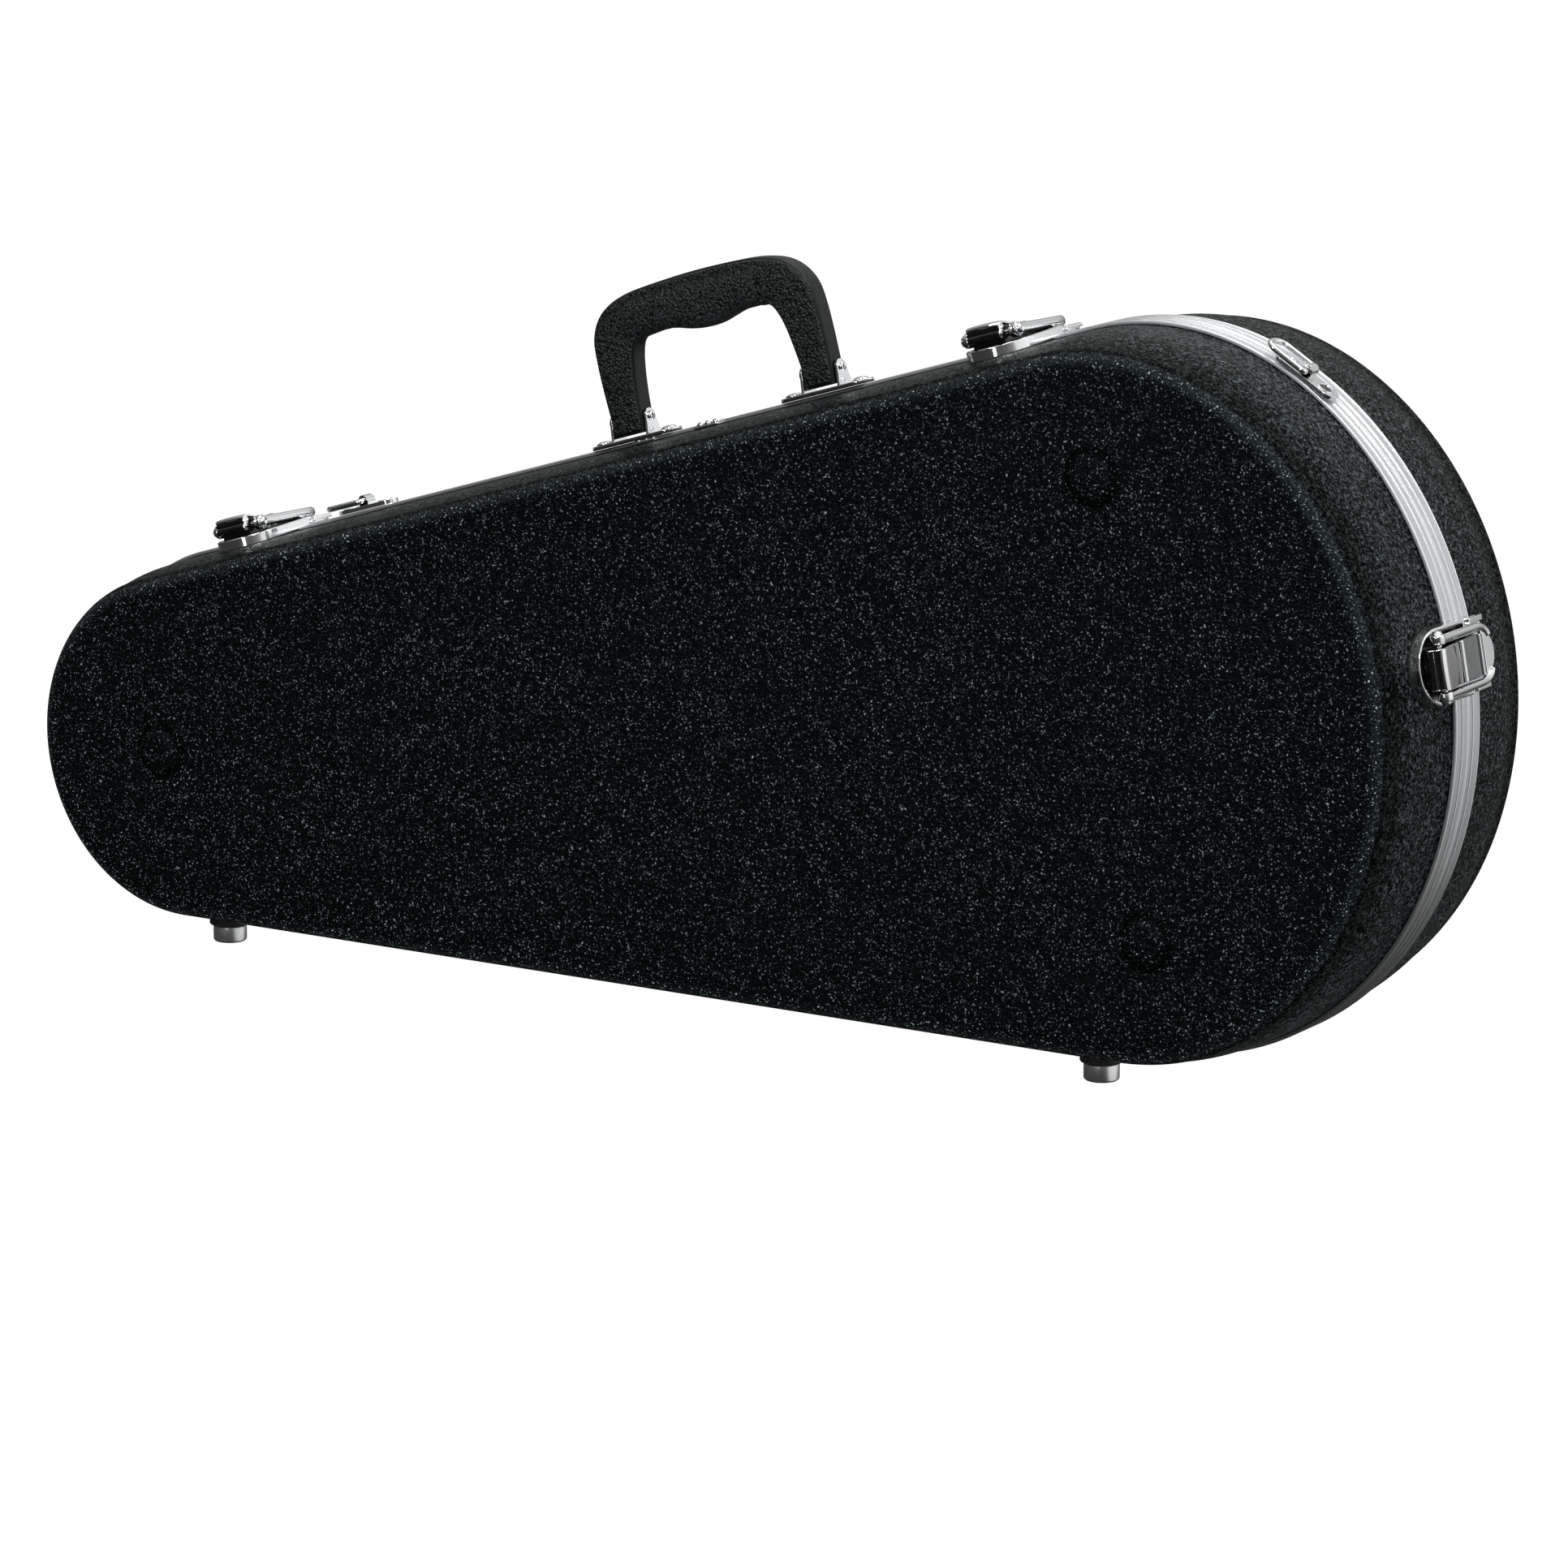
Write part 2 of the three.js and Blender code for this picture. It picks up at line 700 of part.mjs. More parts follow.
function handleOutline() {
  const out = LEG + LEG_HALF;
  const inside = LEG - LEG_HALF;
  const shape = new THREE.Shape();
  shape.moveTo(out, PIVOT.out);
  shape.lineTo(out, 50);
  shape.bezierCurveTo(out, 64, out - 12, BAR.top, out - 30, BAR.top);
  shape.lineTo(-out + 30, BAR.top);
  shape.bezierCurveTo(-out + 12, BAR.top, -out, 64, -out, 50);
  shape.lineTo(-out, PIVOT.out);
  shape.absarc(-LEG, PIVOT.out, LEG_HALF, Math.PI, 2 * Math.PI, false);
  shape.lineTo(-inside, 42);
  shape.quadraticCurveTo(-inside, BAR.under, -inside + 5, BAR.under);
  shape.lineTo(inside - 5, BAR.under);
  shape.quadraticCurveTo(inside, BAR.under, inside, 42);
  shape.lineTo(inside, PIVOT.out);
  shape.absarc(LEG, PIVOT.out, LEG_HALF, Math.PI, 2 * Math.PI, false);
  return shape;
}

// The core's bar is thinner than its legs, so the sleeve can wrap it; the leg ends are round.
function handleCore() {
  const thick = 7;
  const blank = prismZ(handleOutline(), PIVOT.depth - thick, PIVOT.depth + thick);
  const waistFrom = -LEG + 13.5;
  const near = block(waistFrom, -waistFrom, 40, 80, PIVOT.depth + BAR.half, 30);
  const far = block(waistFrom, -waistFrom, 40, 80, -14, PIVOT.depth - BAR.half);
  const span = LEG + 20;
  const side = rod([-span, PIVOT.out, PIVOT.depth], [span, PIVOT.out, PIVOT.depth], thick, 20);
  const above = block(-span, span, PIVOT.out, 90, -20, 40);
  const bore = rod([-span, PIVOT.out, PIVOT.depth], [span, PIVOT.out, PIVOT.depth], 1.9);
  return blank.subtract(near).subtract(far).intersect(side.add(above)).subtract(bore);
}

add(handleFrame, "handle_core", handleCore(), "leather");

function roundedBar(y0, y1, half, corner, x0, x1) {
  const z0 = PIVOT.depth - half;
  const z1 = PIVOT.depth + half;
  const corners = [
    [y0 + corner, z0 + corner],
    [y1 - corner, z0 + corner],
    [y1 - corner, z1 - corner],
    [y0 + corner, z1 - corner],
  ];
  const points = [];
  corners.forEach(([y, z], index) => {
    for (let step = 0; step <= 4; step++) {
      const angle = Math.PI + (index * Math.PI) / 2 + (step * Math.PI) / 8;
      points.push([y + corner * Math.cos(angle), z + corner * Math.sin(angle)]);
    }
  });
  return prismX(points, x0, x1);
}

const SLEEVE_HALF = 41.5;
const sleeveOutside = roundedBar(46.4, 74.6, 9.6, 8.5, -SLEEVE_HALF, SLEEVE_HALF);
const sleeveInside = roundedBar(
  BAR.under - GAP,
  BAR.top + GAP,
  BAR.half + GAP,
  0.6,
  -SLEEVE_HALF - 1,
  SLEEVE_HALF + 1,
);
add(handleFrame, "handle_grip", sleeveOutside.subtract(sleeveInside), "grip");

// Small joint clips where the two ends of the base valance meet.
for (const [index, along] of [
  [1, -262.5],
  [2, -224],
]) {
  const frame = edgeFrame(BIG, EDGE_NORMAL, along);
  const top = block(-7.2, 7.2, -1.4, -0.7, VALANCE_DEPTH + GAP, 17);
  const lip = block(-7.2, 7.2, -1.4, -0.1, VALANCE_DEPTH + GAP, VALANCE_DEPTH + 1.1);
  add(frame, "valance_clip_" + index, union([top, lip]), "aluminium");
}

// Strap fittings: a riveted plate with a knuckle, and a wire ring that swings over it.
const STRAP = { half: 18.4, from: 0.6, to: 12.2, knuckleOut: 4.6, knuckle: 3.2, wire: 1.5 };
const RING = { long: 23, from: 0.1, to: 12.7, nearCorner: 2, farCorner: 5.5 };
for (const [name, end, phi, along] of [
  ["left", BIG, EDGE_NORMAL, -447],
  ["right", BIG, THREE.MathUtils.degToRad(50), 0],
]) {
  const frame = edgeFrame(end, phi, along);
  const { half, from, to, knuckleOut, knuckle, wire } = STRAP;
  const plan = union([
    block(-half + 4, half - 4, GAP, 1.5, from, to),
    rod([-half + 5.8, GAP, (from + to) / 2], [-half + 5.8, 1.5, (from + to) / 2], 5.8, 20),
    rod([half - 5.8, GAP, (from + to) / 2], [half - 5.8, 1.5, (from + to) / 2], 5.8, 20),
  ]);
  const barrel = union([
    rod([0, knuckleOut, 3], [0, knuckleOut, 9.8], knuckle, 14),
    block(-knuckle, knuckle, 1.2, knuckleOut, 3, 9.8),
  ]);
  const bore = rod([0, knuckleOut, 0], [0, knuckleOut, 14], wire + GAP);
  add(frame, "strap_plate_" + name, plan.add(barrel).subtract(bore), "chrome");

  const path = new THREE.CurvePath();
  const corners = [
    [0, RING.from],
    [-RING.long, RING.from],
    [-RING.long, RING.to],
    [0, RING.to],
  ];
  const at = (x, z) => new THREE.Vector3(x, knuckleOut, z);
  corners.forEach(([x, z], index) => {
    const [nextX, nextZ] = corners[(index + 1) % corners.length];
    const [lastX, lastZ] = corners[(index + corners.length - 1) % corners.length];
    const corner = x === 0 ? RING.nearCorner : RING.farCorner;
    const nextCorner = nextX === 0 ? RING.nearCorner : RING.farCorner;
    const inX = x + Math.sign(lastX - x) * corner;
    const inZ = z + Math.sign(lastZ - z) * corner;
    const outX = x + Math.sign(nextX - x) * corner;
    const outZ = z + Math.sign(nextZ - z) * corner;
    path.add(new THREE.QuadraticBezierCurve3(at(inX, inZ), at(x, z), at(outX, outZ)));
    const endX = nextX - Math.sign(nextX - x) * nextCorner;
    const endZ = nextZ - Math.sign(nextZ - z) * nextCorner;
    path.add(new THREE.LineCurve3(at(outX, outZ), at(endX, endZ)));
  });
  const ring = new THREE.TubeGeometry(path, 28, wire, 8, true);
  add(frame, "strap_ring_" + name, solid(ring), "chrome");
}

// The origin is the middle of the bounding box, at its bottom.
group.updateMatrixWorld(true);
const bounds = new THREE.Box3().setFromObject(group, true);
const centre = bounds.getCenter(new THREE.Vector3());
deck.position.set(-centre.x, -centre.y, -bounds.min.z);

export default group;
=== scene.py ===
import math

import bmesh
import bpy
import numpy as np
from mathutils import Matrix, Vector


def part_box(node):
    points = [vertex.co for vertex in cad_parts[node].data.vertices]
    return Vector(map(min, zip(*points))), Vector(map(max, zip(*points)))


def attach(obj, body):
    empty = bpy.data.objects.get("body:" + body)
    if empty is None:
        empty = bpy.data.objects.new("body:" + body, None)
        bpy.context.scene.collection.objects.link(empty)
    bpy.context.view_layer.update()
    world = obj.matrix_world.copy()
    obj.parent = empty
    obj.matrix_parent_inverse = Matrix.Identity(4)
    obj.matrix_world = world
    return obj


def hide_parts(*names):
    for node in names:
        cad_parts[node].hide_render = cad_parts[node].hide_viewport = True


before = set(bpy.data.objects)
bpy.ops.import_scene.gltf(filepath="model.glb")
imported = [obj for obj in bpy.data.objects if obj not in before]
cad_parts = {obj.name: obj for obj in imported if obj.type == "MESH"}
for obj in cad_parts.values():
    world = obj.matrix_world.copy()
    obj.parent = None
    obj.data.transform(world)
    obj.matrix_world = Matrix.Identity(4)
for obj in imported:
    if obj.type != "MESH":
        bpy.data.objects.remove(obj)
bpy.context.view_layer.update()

# The case stands on its feet with the base half to the front. Pieces are measured in millimetres in local
# frames, whose matrices turn them into the metres of the scene.
MM = 0.001
BIG = (0.0, 153.4, 177.2)  # an end's ellipse: centre along the case, half-axis along, half-axis across
SMALL = (-557.4, 94.6, 96.3)
FACE_DEPTH = 73.5  # from the parting plane to the flat face
BUMPS = [(-565.6, 0.0), (8.7, 110.2), (8.7, -110.2)]  # moulded bumps of the face
SIDES = (-1, 1)


# ---------------- outline and local frames
def reach(end, phi):
    """Distance from an end's centre to its tangent line with normal phi."""
    return math.hypot(end[1] * math.cos(phi), end[2] * math.sin(phi))


def tangent_normal():
    """Normal of the straight edge that touches both end ellipses, by halving."""
    low, high = math.pi / 2, math.pi / 2 + 0.5
    for _ in range(50):
        phi = (low + high) / 2
        if reach(BIG, phi) > reach(SMALL, phi) + SMALL[0] * math.cos(phi):
            low = phi
        else:
            high = phi
    return low


EDGE_NORMAL = tangent_normal()
TILT = EDGE_NORMAL - math.pi / 2
low_corner, high_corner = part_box("base_valance")
CENTRE = (low_corner + high_corner) / 2
ORIGIN = Vector((
    high_corner.x - reach(BIG, -TILT) * MM,
    0,
    low_corner.z + reach(BIG, EDGE_NORMAL) * MM,
))
# The deck: X along the case, Y across it, Z out of the base half's face.
UPRIGHT = Matrix.Rotation(math.pi / 2, 4, "X")
DECK = Matrix.Translation(ORIGIN) @ UPRIGHT @ Matrix.Rotation(TILT, 4, "Z") @ Matrix.Scale(MM, 4)


def outline_point(end, phi, inset=0.0):
    size = reach(end, phi)
    x = end[0] + (end[1] ** 2 / size - inset) * math.cos(phi)
    y = (end[2] ** 2 / size - inset) * math.sin(phi)
    return x, y


def edge_frame(end, phi, along=0.0):
    """On the rim: X along the edge, Y outward, Z to the base half's face."""
    x, y = outline_point(end, phi)
    place = Matrix.Translation((x + along * math.sin(phi), y - along * math.cos(phi), 0))
    return DECK @ place @ Matrix.Rotation(phi - math.pi / 2, 4, "Z")


EDGE_LENGTH = math.dist(outline_point(BIG, EDGE_NORMAL), outline_point(SMALL, EDGE_NORMAL))
BIG_STOPS, SMALL_STOPS, EDGE_STOPS = 110, 60, 36


def stations():
    """Stops round the outline from the lower tangent of the big end: end, normal, distance along the edge."""
    sweep_small = 2 * (math.pi - EDGE_NORMAL)
    step = EDGE_LENGTH / EDGE_STOPS
    out = [(BIG, EDGE_NORMAL * (2 * i / BIG_STOPS - 1), 0.0) for i in range(BIG_STOPS + 1)]
    out += [(BIG, EDGE_NORMAL, -step * i) for i in range(1, EDGE_STOPS)]
    out += [(SMALL, EDGE_NORMAL + sweep_small * i / SMALL_STOPS, 0.0) for i in range(SMALL_STOPS + 1)]
    out += [(SMALL, -EDGE_NORMAL, -step * i) for i in range(1, EDGE_STOPS)]
    return out


def ring(inset, depth, side):
    """The outline moved inward by inset, at a depth on one side of the parting plane."""
    points = []
    for end, phi, run in stations():
        x, y = outline_point(end, phi, inset)
        points.append((x + run * math.sin(phi), y - run * math.cos(phi), side * depth))
    return points


# ---------------- meshes
class Build:
    """Collects pieces of one mesh in the millimetres of a local frame."""

    def __init__(self, name, matrix):
        self.name = name
        self.matrix = matrix
        self.verts = []
        self.faces = []
        self.slots = []

    def put(self, verts, faces, slot=0):
        start = len(self.verts)
        self.verts += [tuple(v) for v in verts]
        self.faces += [tuple(i + start for i in f) for f in faces]
        self.slots += [slot] * len(faces)
        return self

    def slab(self, points, axis, a, b, slot=0):
        """An outline pulled from a to b along axis; its points lie in the next two axes, in cyclic order."""
        n = len(points)
        order = {
            "x": lambda p, h: (h, p[0], p[1]),
            "y": lambda p, h: (p[1], h, p[0]),
            "z": lambda p, h: (p[0], p[1], h),
        }[axis]
        verts = [order(p, a) for p in points] + [order(p, b) for p in points]
        faces = [tuple(range(n))[::-1], tuple(range(n, 2 * n))]
        faces += [(i, (i + 1) % n, (i + 1) % n + n, i + n) for i in range(n)]
        return self.put(verts, faces, slot)

    def box(self, x0, x1, y0, y1, z0, z1, slot=0):
        return self.slab([(x0, y0), (x1, y0), (x1, y1), (x0, y1)], "z", z0, z1, slot)

    def turned(self, profile, centre, axis="y", segments=40, slot=0):
        """A profile of (radius, height) turned about axis through centre."""
        rings = []
        verts = []
        for radius, height in profile:
            if radius < 1e-6:
                rings.append([len(verts)])
                verts.append(self._turn(0, height, 0, centre, axis))
                continue
            rings.append(list(range(len(verts), len(verts) + segments)))
            angles = [2 * math.pi * k / segments for k in range(segments)]
            verts += [self._turn(radius, height, angle, centre, axis) for angle in angles]
        faces = []
        for a, b in zip(rings, rings[1:]):
            if len(a) == 1 and len(b) == 1:
                continue
            for k in range(segments):
                m = (k + 1) % segments
                if len(a) == 1:
                    faces.append((a[0], b[k], b[m]))
                elif len(b) == 1:
                    faces.append((a[k], b[0], a[m]))
                else:
                    faces.append((a[k], b[k], b[m], a[m]))
        return self.put(verts, faces, slot)

    @staticmethod
    def _turn(radius, height, angle, centre, axis):
        u, w = radius * math.cos(angle), radius * math.sin(angle)
        x, y, z = {"x": (height, u, w), "y": (w, height, u), "z": (u, w, height)}[axis]
        return (centre[0] + x, centre[1] + y, centre[2] + z)

    def tube(self, path, radius, segments=14, closed=False, slot=0, flat=1.0):
        """A round bar along path; flat stretches it sideways."""
        pts = [Vector(p) for p in path]
        n = len(pts)
        normal = None
        verts, faces = [], []
        for i, p in enumerate(pts):
            before = pts[(i - 1) % n] if closed or i else p
            after = pts[(i + 1) % n] if closed or i < n - 1 else p
            t = (after - before).normalized()
            if normal is None:
                normal = Vector((0, 0, 1)) if abs(t.z) < 0.9 else Vector((1, 0, 0))
            normal = (normal - normal.dot(t) * t).normalized()
            side = t.cross(normal)
            for k in range(segments):
                angle = 2 * math.pi * k / segments
                verts.append(p + radius * (math.cos(angle) * normal + flat * math.sin(angle) * side))
        for i in range(n if closed else n - 1):
            j = (i + 1) % n
            for k in range(segments):
                m = (k + 1) % segments
                faces.append((i * segments + k, i * segments + m, j * segments + m, j * segments + k))
        if not closed:
            faces.append(tuple(range(segments))[::-1])
            faces.append(tuple(range((n - 1) * segments, n * segments)))
        return self.put(verts, faces, slot)

    def loft(self, rings, caps=True, slot=0):
        """A skin over closed rings of equal count."""
        n = len(rings[0])
        verts = [v for points in rings for v in points]
        faces = []
        for i in range(len(rings) - 1):
            for k in range(n):
                m = (k + 1) % n
                faces.append((i * n + k, i * n + m, (i + 1) * n + m, (i + 1) * n + k))
        if caps:
            faces.append(tuple(range(n))[::-1])
            faces.append(tuple(range((len(rings) - 1) * n, len(rings) * n)))
        return self.put(verts, faces, slot)

    def object(self, bevel=0.0, steps=2, smooth=35):
        """The mesh as an object, with its sharp edges bevelled and those over smooth degrees kept sharp."""
        mesh = bpy.data.meshes.new(self.name)
        mesh.from_pydata([self.matrix @ Vector(v) for v in self.verts], [], self.faces)
        mesh.polygons.foreach_set("material_index", self.slots)
        bm = bmesh.new()
        bm.from_mesh(mesh)
        bmesh.ops.recalc_face_normals(bm, faces=bm.faces)
        bm.to_mesh(mesh)
        bm.free()
        obj = bpy.data.objects.new(self.name, mesh)
        bpy.context.scene.collection.objects.link(obj)
        if bevel:
            round_edges(obj, bevel, steps, BEVEL_ANGLE)
        mesh.shade_smooth()
        mesh.set_sharp_from_angle(angle=math.radians(smooth))
        return obj


BEVEL_ANGLE = 35


def round_edges(obj, width, steps, angle):
    m = obj.modifiers.new("bevel", "BEVEL")
    m.width = width * MM
    m.segments = steps
    m.limit_method = "ANGLE"
    m.angle_limit = math.radians(angle)


def circle(cx, cy, r, n=32, start=0.0, sweep=2 * math.pi):
    """Points of an arc, or of a whole circle without its last point twice."""
    count = n if sweep >= 2 * math.pi - 1e-6 else n + 1
    angles = [start + sweep * k / n for k in range(count)]
    return [(cx + r * math.cos(t), cy + r * math.sin(t)) for t in angles]


def half_turn(n):
    """Angles from 0 to pi in n steps."""
    return [math.pi * k / n for k in range(n + 1)]


def oblong(half_long, half_wide, cx=0.0, cy=0.0, n=16):
    """Round-ended strip along the first axis."""
    e = half_long - half_wide
    right = circle(cx + e, cy, half_wide, n, -math.pi / 2, math.pi)
    left = circle(cx - e, cy, half_wide, n, math.pi / 2, math.pi)
    return right + left


def swapped(points):
    """The same outline for a slab along y, whose points are (z, x)."""
    return [(b, a) for a, b in points][::-1]


def smooth_path(points, per=8):
    """A Catmull-Rom curve through points of any dimension."""
    pts = [np.array(p, float) for p in points]
    pts = [2 * pts[0] - pts[1]] + pts + [2 * pts[-1] - pts[-2]]
    out = []
    for i in range(1, len(pts) - 2):
        a, b, c, d = pts[i - 1 : i + 3]
        square = 2 * a - 5 * b + 4 * c - d
        cube = 3 * b - a - 3 * c + d
        for t in (k / per for k in range(per)):
            out.append(0.5 * (2 * b + (c - a) * t + square * t**2 + cube * t**3))
    out.append(pts[-2])
    return out


def toward(a, b, d):
    """The point at distance d from a on the way to b."""
    v = np.array(b, float) - np.array(a, float)
    return np.array(a, float) + v / np.linalg.norm(v) * d


def clamp01(value):
    return min(max(value, 0), 1)


# ---------------- shader helpers
def new_material(name):
    m = bpy.data.materials.new(name)
    m.use_nodes = True
    nt = m.node_tree
    return m, nt, nt.nodes["Principled BSDF"]


def node(nt, kind, inputs=None, **props):
    """A node whose inputs are values or (node, output) pairs."""
    n = nt.nodes.new(kind)
    for k, v in props.items():
        setattr(n, k, v)
    for k, v in (inputs or {}).items():
        if isinstance(v, tuple) and len(v) == 2 and hasattr(v[0], "outputs"):
            nt.links.new(v[0].outputs[v[1]], n.inputs[k])
        else:
            n.inputs[k].default_value = v
    return n


def link(nt, source, target, name):
    nt.links.new(source[0].outputs[source[1]], target.inputs[name])


def ramp(nt, source, stops):
    """A colour ramp over source; a stop's value is a grey or a colour."""
    r = node(nt, "ShaderNodeValToRGB", {"Fac": source})
    e = r.color_ramp.elements
    while len(e) < len(stops):
        e.new(0.5)
    for item, (pos, value) in zip(e, stops):
        item.position = pos
        item.color = (*value, 1) if isinstance(value, tuple) else (value, value, value, 1)
    return r


def noise(nt, vector, scale, detail, roughness=0.5, distortion=0.0):
    values = {"Vector": vector, "Scale": scale, "Detail": detail}
    return node(nt, "ShaderNodeTexNoise", {**values, "Roughness": roughness, "Distortion": distortion})


def cells(nt, vector, scale):
    values = {"Vector": vector, "Scale": scale, "Smoothness": 0.5}
    return node(nt, "ShaderNodeTexVoronoi", values, feature="SMOOTH_F1")


def calc(nt, operation, a, b):
    return node(nt, "ShaderNodeMath", {0: a, 1: b}, operation=operation)


def calc_vector(nt, operation, a, b):
    return node(nt, "ShaderNodeVectorMath", {0: a, 1: b}, operation=operation)


def map_range(nt, source, from_min, from_max, to_min=0.0, to_max=1.0):
    values = {"Value": source, "From Min": from_min, "From Max": from_max}
    return node(nt, "ShaderNodeMapRange", {**values, "To Min": to_min, "To Max": to_max})


# Sockets of a Mix node in its colour mode.
MIX_A, MIX_B, MIX_OUT = 6, 7, 2


def mix_colours(nt, factor, a, b, blend="MIX"):
    values = {"Factor": factor, MIX_A: a, MIX_B: b}
    return node(nt, "ShaderNodeMix", values, data_type="RGBA", blend_type=blend)


def mix_values(nt, factor, a, b):
    return node(nt, "ShaderNodeMix", {"Factor": factor, "A": a, "B": b}, data_type="FLOAT")


def warped(nt, co, scale, amount):
    """Object coordinates shifted about by a noise, so that no pattern looks regular."""
    warp = noise(nt, (co, "Object"), scale, 2.0)
    shift = calc_vector(nt, "MULTIPLY", (warp, "Color"), (amount,) * 3)
    return warp, calc_vector(nt, "ADD", (co, "Object"), (shift, 0))


def grey(value):
    return (value,) * 3


# ---------------- materials
def painted_rim_light_and_shade(nt, co, depth):
    """Painted light and shade as a factor on colour and specular: painted shade on the bend, a painted
    highlight on the rim of the face, and round each bump a painted highlight on its dome and painted shade in
    the crease.
    """
    bend = map_range(nt, (depth, 0), 0.050, 0.075)
    # Painted shade on the bend from the wall toward the face, and a painted highlight along the rim of the
    # face.
    stops = [(0.0, 0.3), (0.45, 0.11), (0.78, 0.11), (0.88, 0.95), (0.92, 0.95), (0.945, 0.25)]
    painted_light_shade = calc(nt, "MULTIPLY", (ramp(nt, (bend, 0), stops), 0), 4.0)
    flat = calc_vector(nt, "MULTIPLY", (co, "Object"), (1, 0, 1))
    # A painted highlight on each bump's dome and painted shade in the crease round it.
    bump_light_stops = [(0.0, 0.62), (0.5, 0.86), (0.61, 0.3), (0.7, 0.2), (0.79, 0.5)]
    for x, y in BUMPS:
        centre = DECK @ Vector((x, y, 0))
        distance = calc_vector(nt, "DISTANCE", (flat, 0), (centre.x, 0, centre.z))
        share = calc(nt, "MULTIPLY", (distance, "Value"), 50.0)
        crease_shade = calc(nt, "MULTIPLY", (ramp(nt, (share, 0), bump_light_stops), 0), 2.0)
        painted_light_shade = calc(nt, "MULTIPLY", (painted_light_shade, 0), (crease_shade, 0))
    return painted_light_shade


def grained_plastic():
    """Grained black sheet: pebbles on the flat face with painted glints, a fine wavy grain on the walls with
    a painted sheen, and painted light and shade on the rim, the bend and round the bumps.
    """
    m, nt, b = new_material("grained_black_plastic")
    co = node(nt, "ShaderNodeTexCoord")
    sep = node(nt, "ShaderNodeSeparateXYZ", {"Vector": (co, "Object")})
    depth = node(nt, "ShaderNodeMath", {0: (sep, "Y")}, operation="ABSOLUTE")
    face = map_range(nt, (depth, 0), 0.0670, 0.0722)
    _, moved = warped(nt, co, 420.0, 0.0016)
    pebble = cells(nt, (moved, 0), 760.0)
    fine = noise(nt, (moved, 0), 1000.0, 3.0, 0.6)
    wave = noise(nt, (moved, 0), 620.0, 2.0, 0.5, 1.0)
    flecks = noise(nt, (moved, 0), 1080.0, 1.0, 0.4)

    pebbles = calc(nt, "MULTIPLY", (pebble, "Distance"), -0.45)
    face_height = calc(nt, "ADD", (pebbles, 0), (fine, "Fac"))
    wall_height = calc(nt, "MULTIPLY", (wave, "Fac"), 0.75)
    height = mix_values(nt, (face, 0), (wall_height, 0), (face_height, 0))
    grain_depth = map_range(nt, (face, 0), 0.0, 1.0, 0.0023, 0.0010)
    bump = node(nt, "ShaderNodeBump", {"Height": (height, 0), "Distance": (grain_depth, 0), "Strength": 1.0})
    link(nt, (bump, 0), b, "Normal")

    # The tops of the grains are painted bright, as painted glints: sparse flecks on the face, a low wave on
    # the walls.
    pit = (0.0003, 0.0005, 0.0006)
    glint_stops = [(0.59, pit), (0.665, (0.003, 0.0046, 0.0049)), (0.79, (0.17, 0.20, 0.21))]
    wall_sheen_stops = [(0.42, pit), (0.54, (0.004, 0.0055, 0.006)), (0.68, (0.055, 0.068, 0.07))]
    wall_sheen_tone = ramp(nt, (wave, "Fac"), wall_sheen_stops)
    face_glint_tone = ramp(nt, (flecks, "Fac"), glint_stops)
    tone = mix_colours(nt, (face, 0), (wall_sheen_tone, 0), (face_glint_tone, 0))
    painted_light_shade = painted_rim_light_and_shade(nt, co, depth)
    # The painted light and shade scale the grain's colour.
    tone_with_painted_light = node(nt, "ShaderNodeVectorMath", {0: (tone, MIX_OUT), "Scale": (painted_light_shade, 0)}, operation="SCALE")
    link(nt, (tone_with_painted_light, 0), b, "Base Color")

    # Pits between the grains throw nothing back.
    face_spec = ramp(nt, (flecks, "Fac"), [(0.45, 0.05), (0.62, 0.09), (0.80, 0.45)])
    wall_spec = ramp(nt, (wave, "Fac"), [(0.38, 0.015), (0.5, 0.08), (0.66, 0.42)])
    spec = mix_values(nt, (face, 0), (wall_spec, 0), (face_spec, 0))
    # The painted light and shade of the bend, rim and bumps scale the specular too.
    link(nt, (calc(nt, "MULTIPLY", (spec, 0), (painted_light_shade, 0)), 0), b, "Specular IOR Level")
    link(nt, (ramp(nt, (fine, "Fac"), [(0.3, 0.22), (0.7, 0.36)]), 0), b, "Roughness")
    b.inputs["Specular Tint"].default_value = (0.76, 0.98, 1, 1)
    return m


def metal(name, colour, rough, scale=900.0, strength=0.08, streak=(1, 1, 1), vary=0.06):
    """Metal with a slight mottle, and streaks where streak squeezes the noise."""
    m, nt, b = new_material(name)
    co = node(nt, "ShaderNodeTexCoord")
    mapping = node(nt, "ShaderNodeMapping", {"Vector": (co, "Object"), "Scale": streak})
    mottle = noise(nt, (mapping, 0), scale, 3.0)
    wide = noise(nt, (co, "Object"), 90.0, 2.0)
    roughness = ramp(nt, (wide, "Fac"), [(0.3, max(rough - vary, 0.02)), (0.7, rough + vary)])
    link(nt, (roughness, 0), b, "Roughness")
    dull = tuple(c * 0.93 for c in colour)
    link(nt, (ramp(nt, (mottle, "Fac"), [(0.3, dull), (0.7, colour)]), 0), b, "Base Color")
    values = {"Height": (mottle, "Fac"), "Distance": 0.0002, "Strength": strength}
    link(nt, (node(nt, "ShaderNodeBump", values), 0), b, "Normal")
    b.inputs["Metallic"].default_value = 1.0
    return m


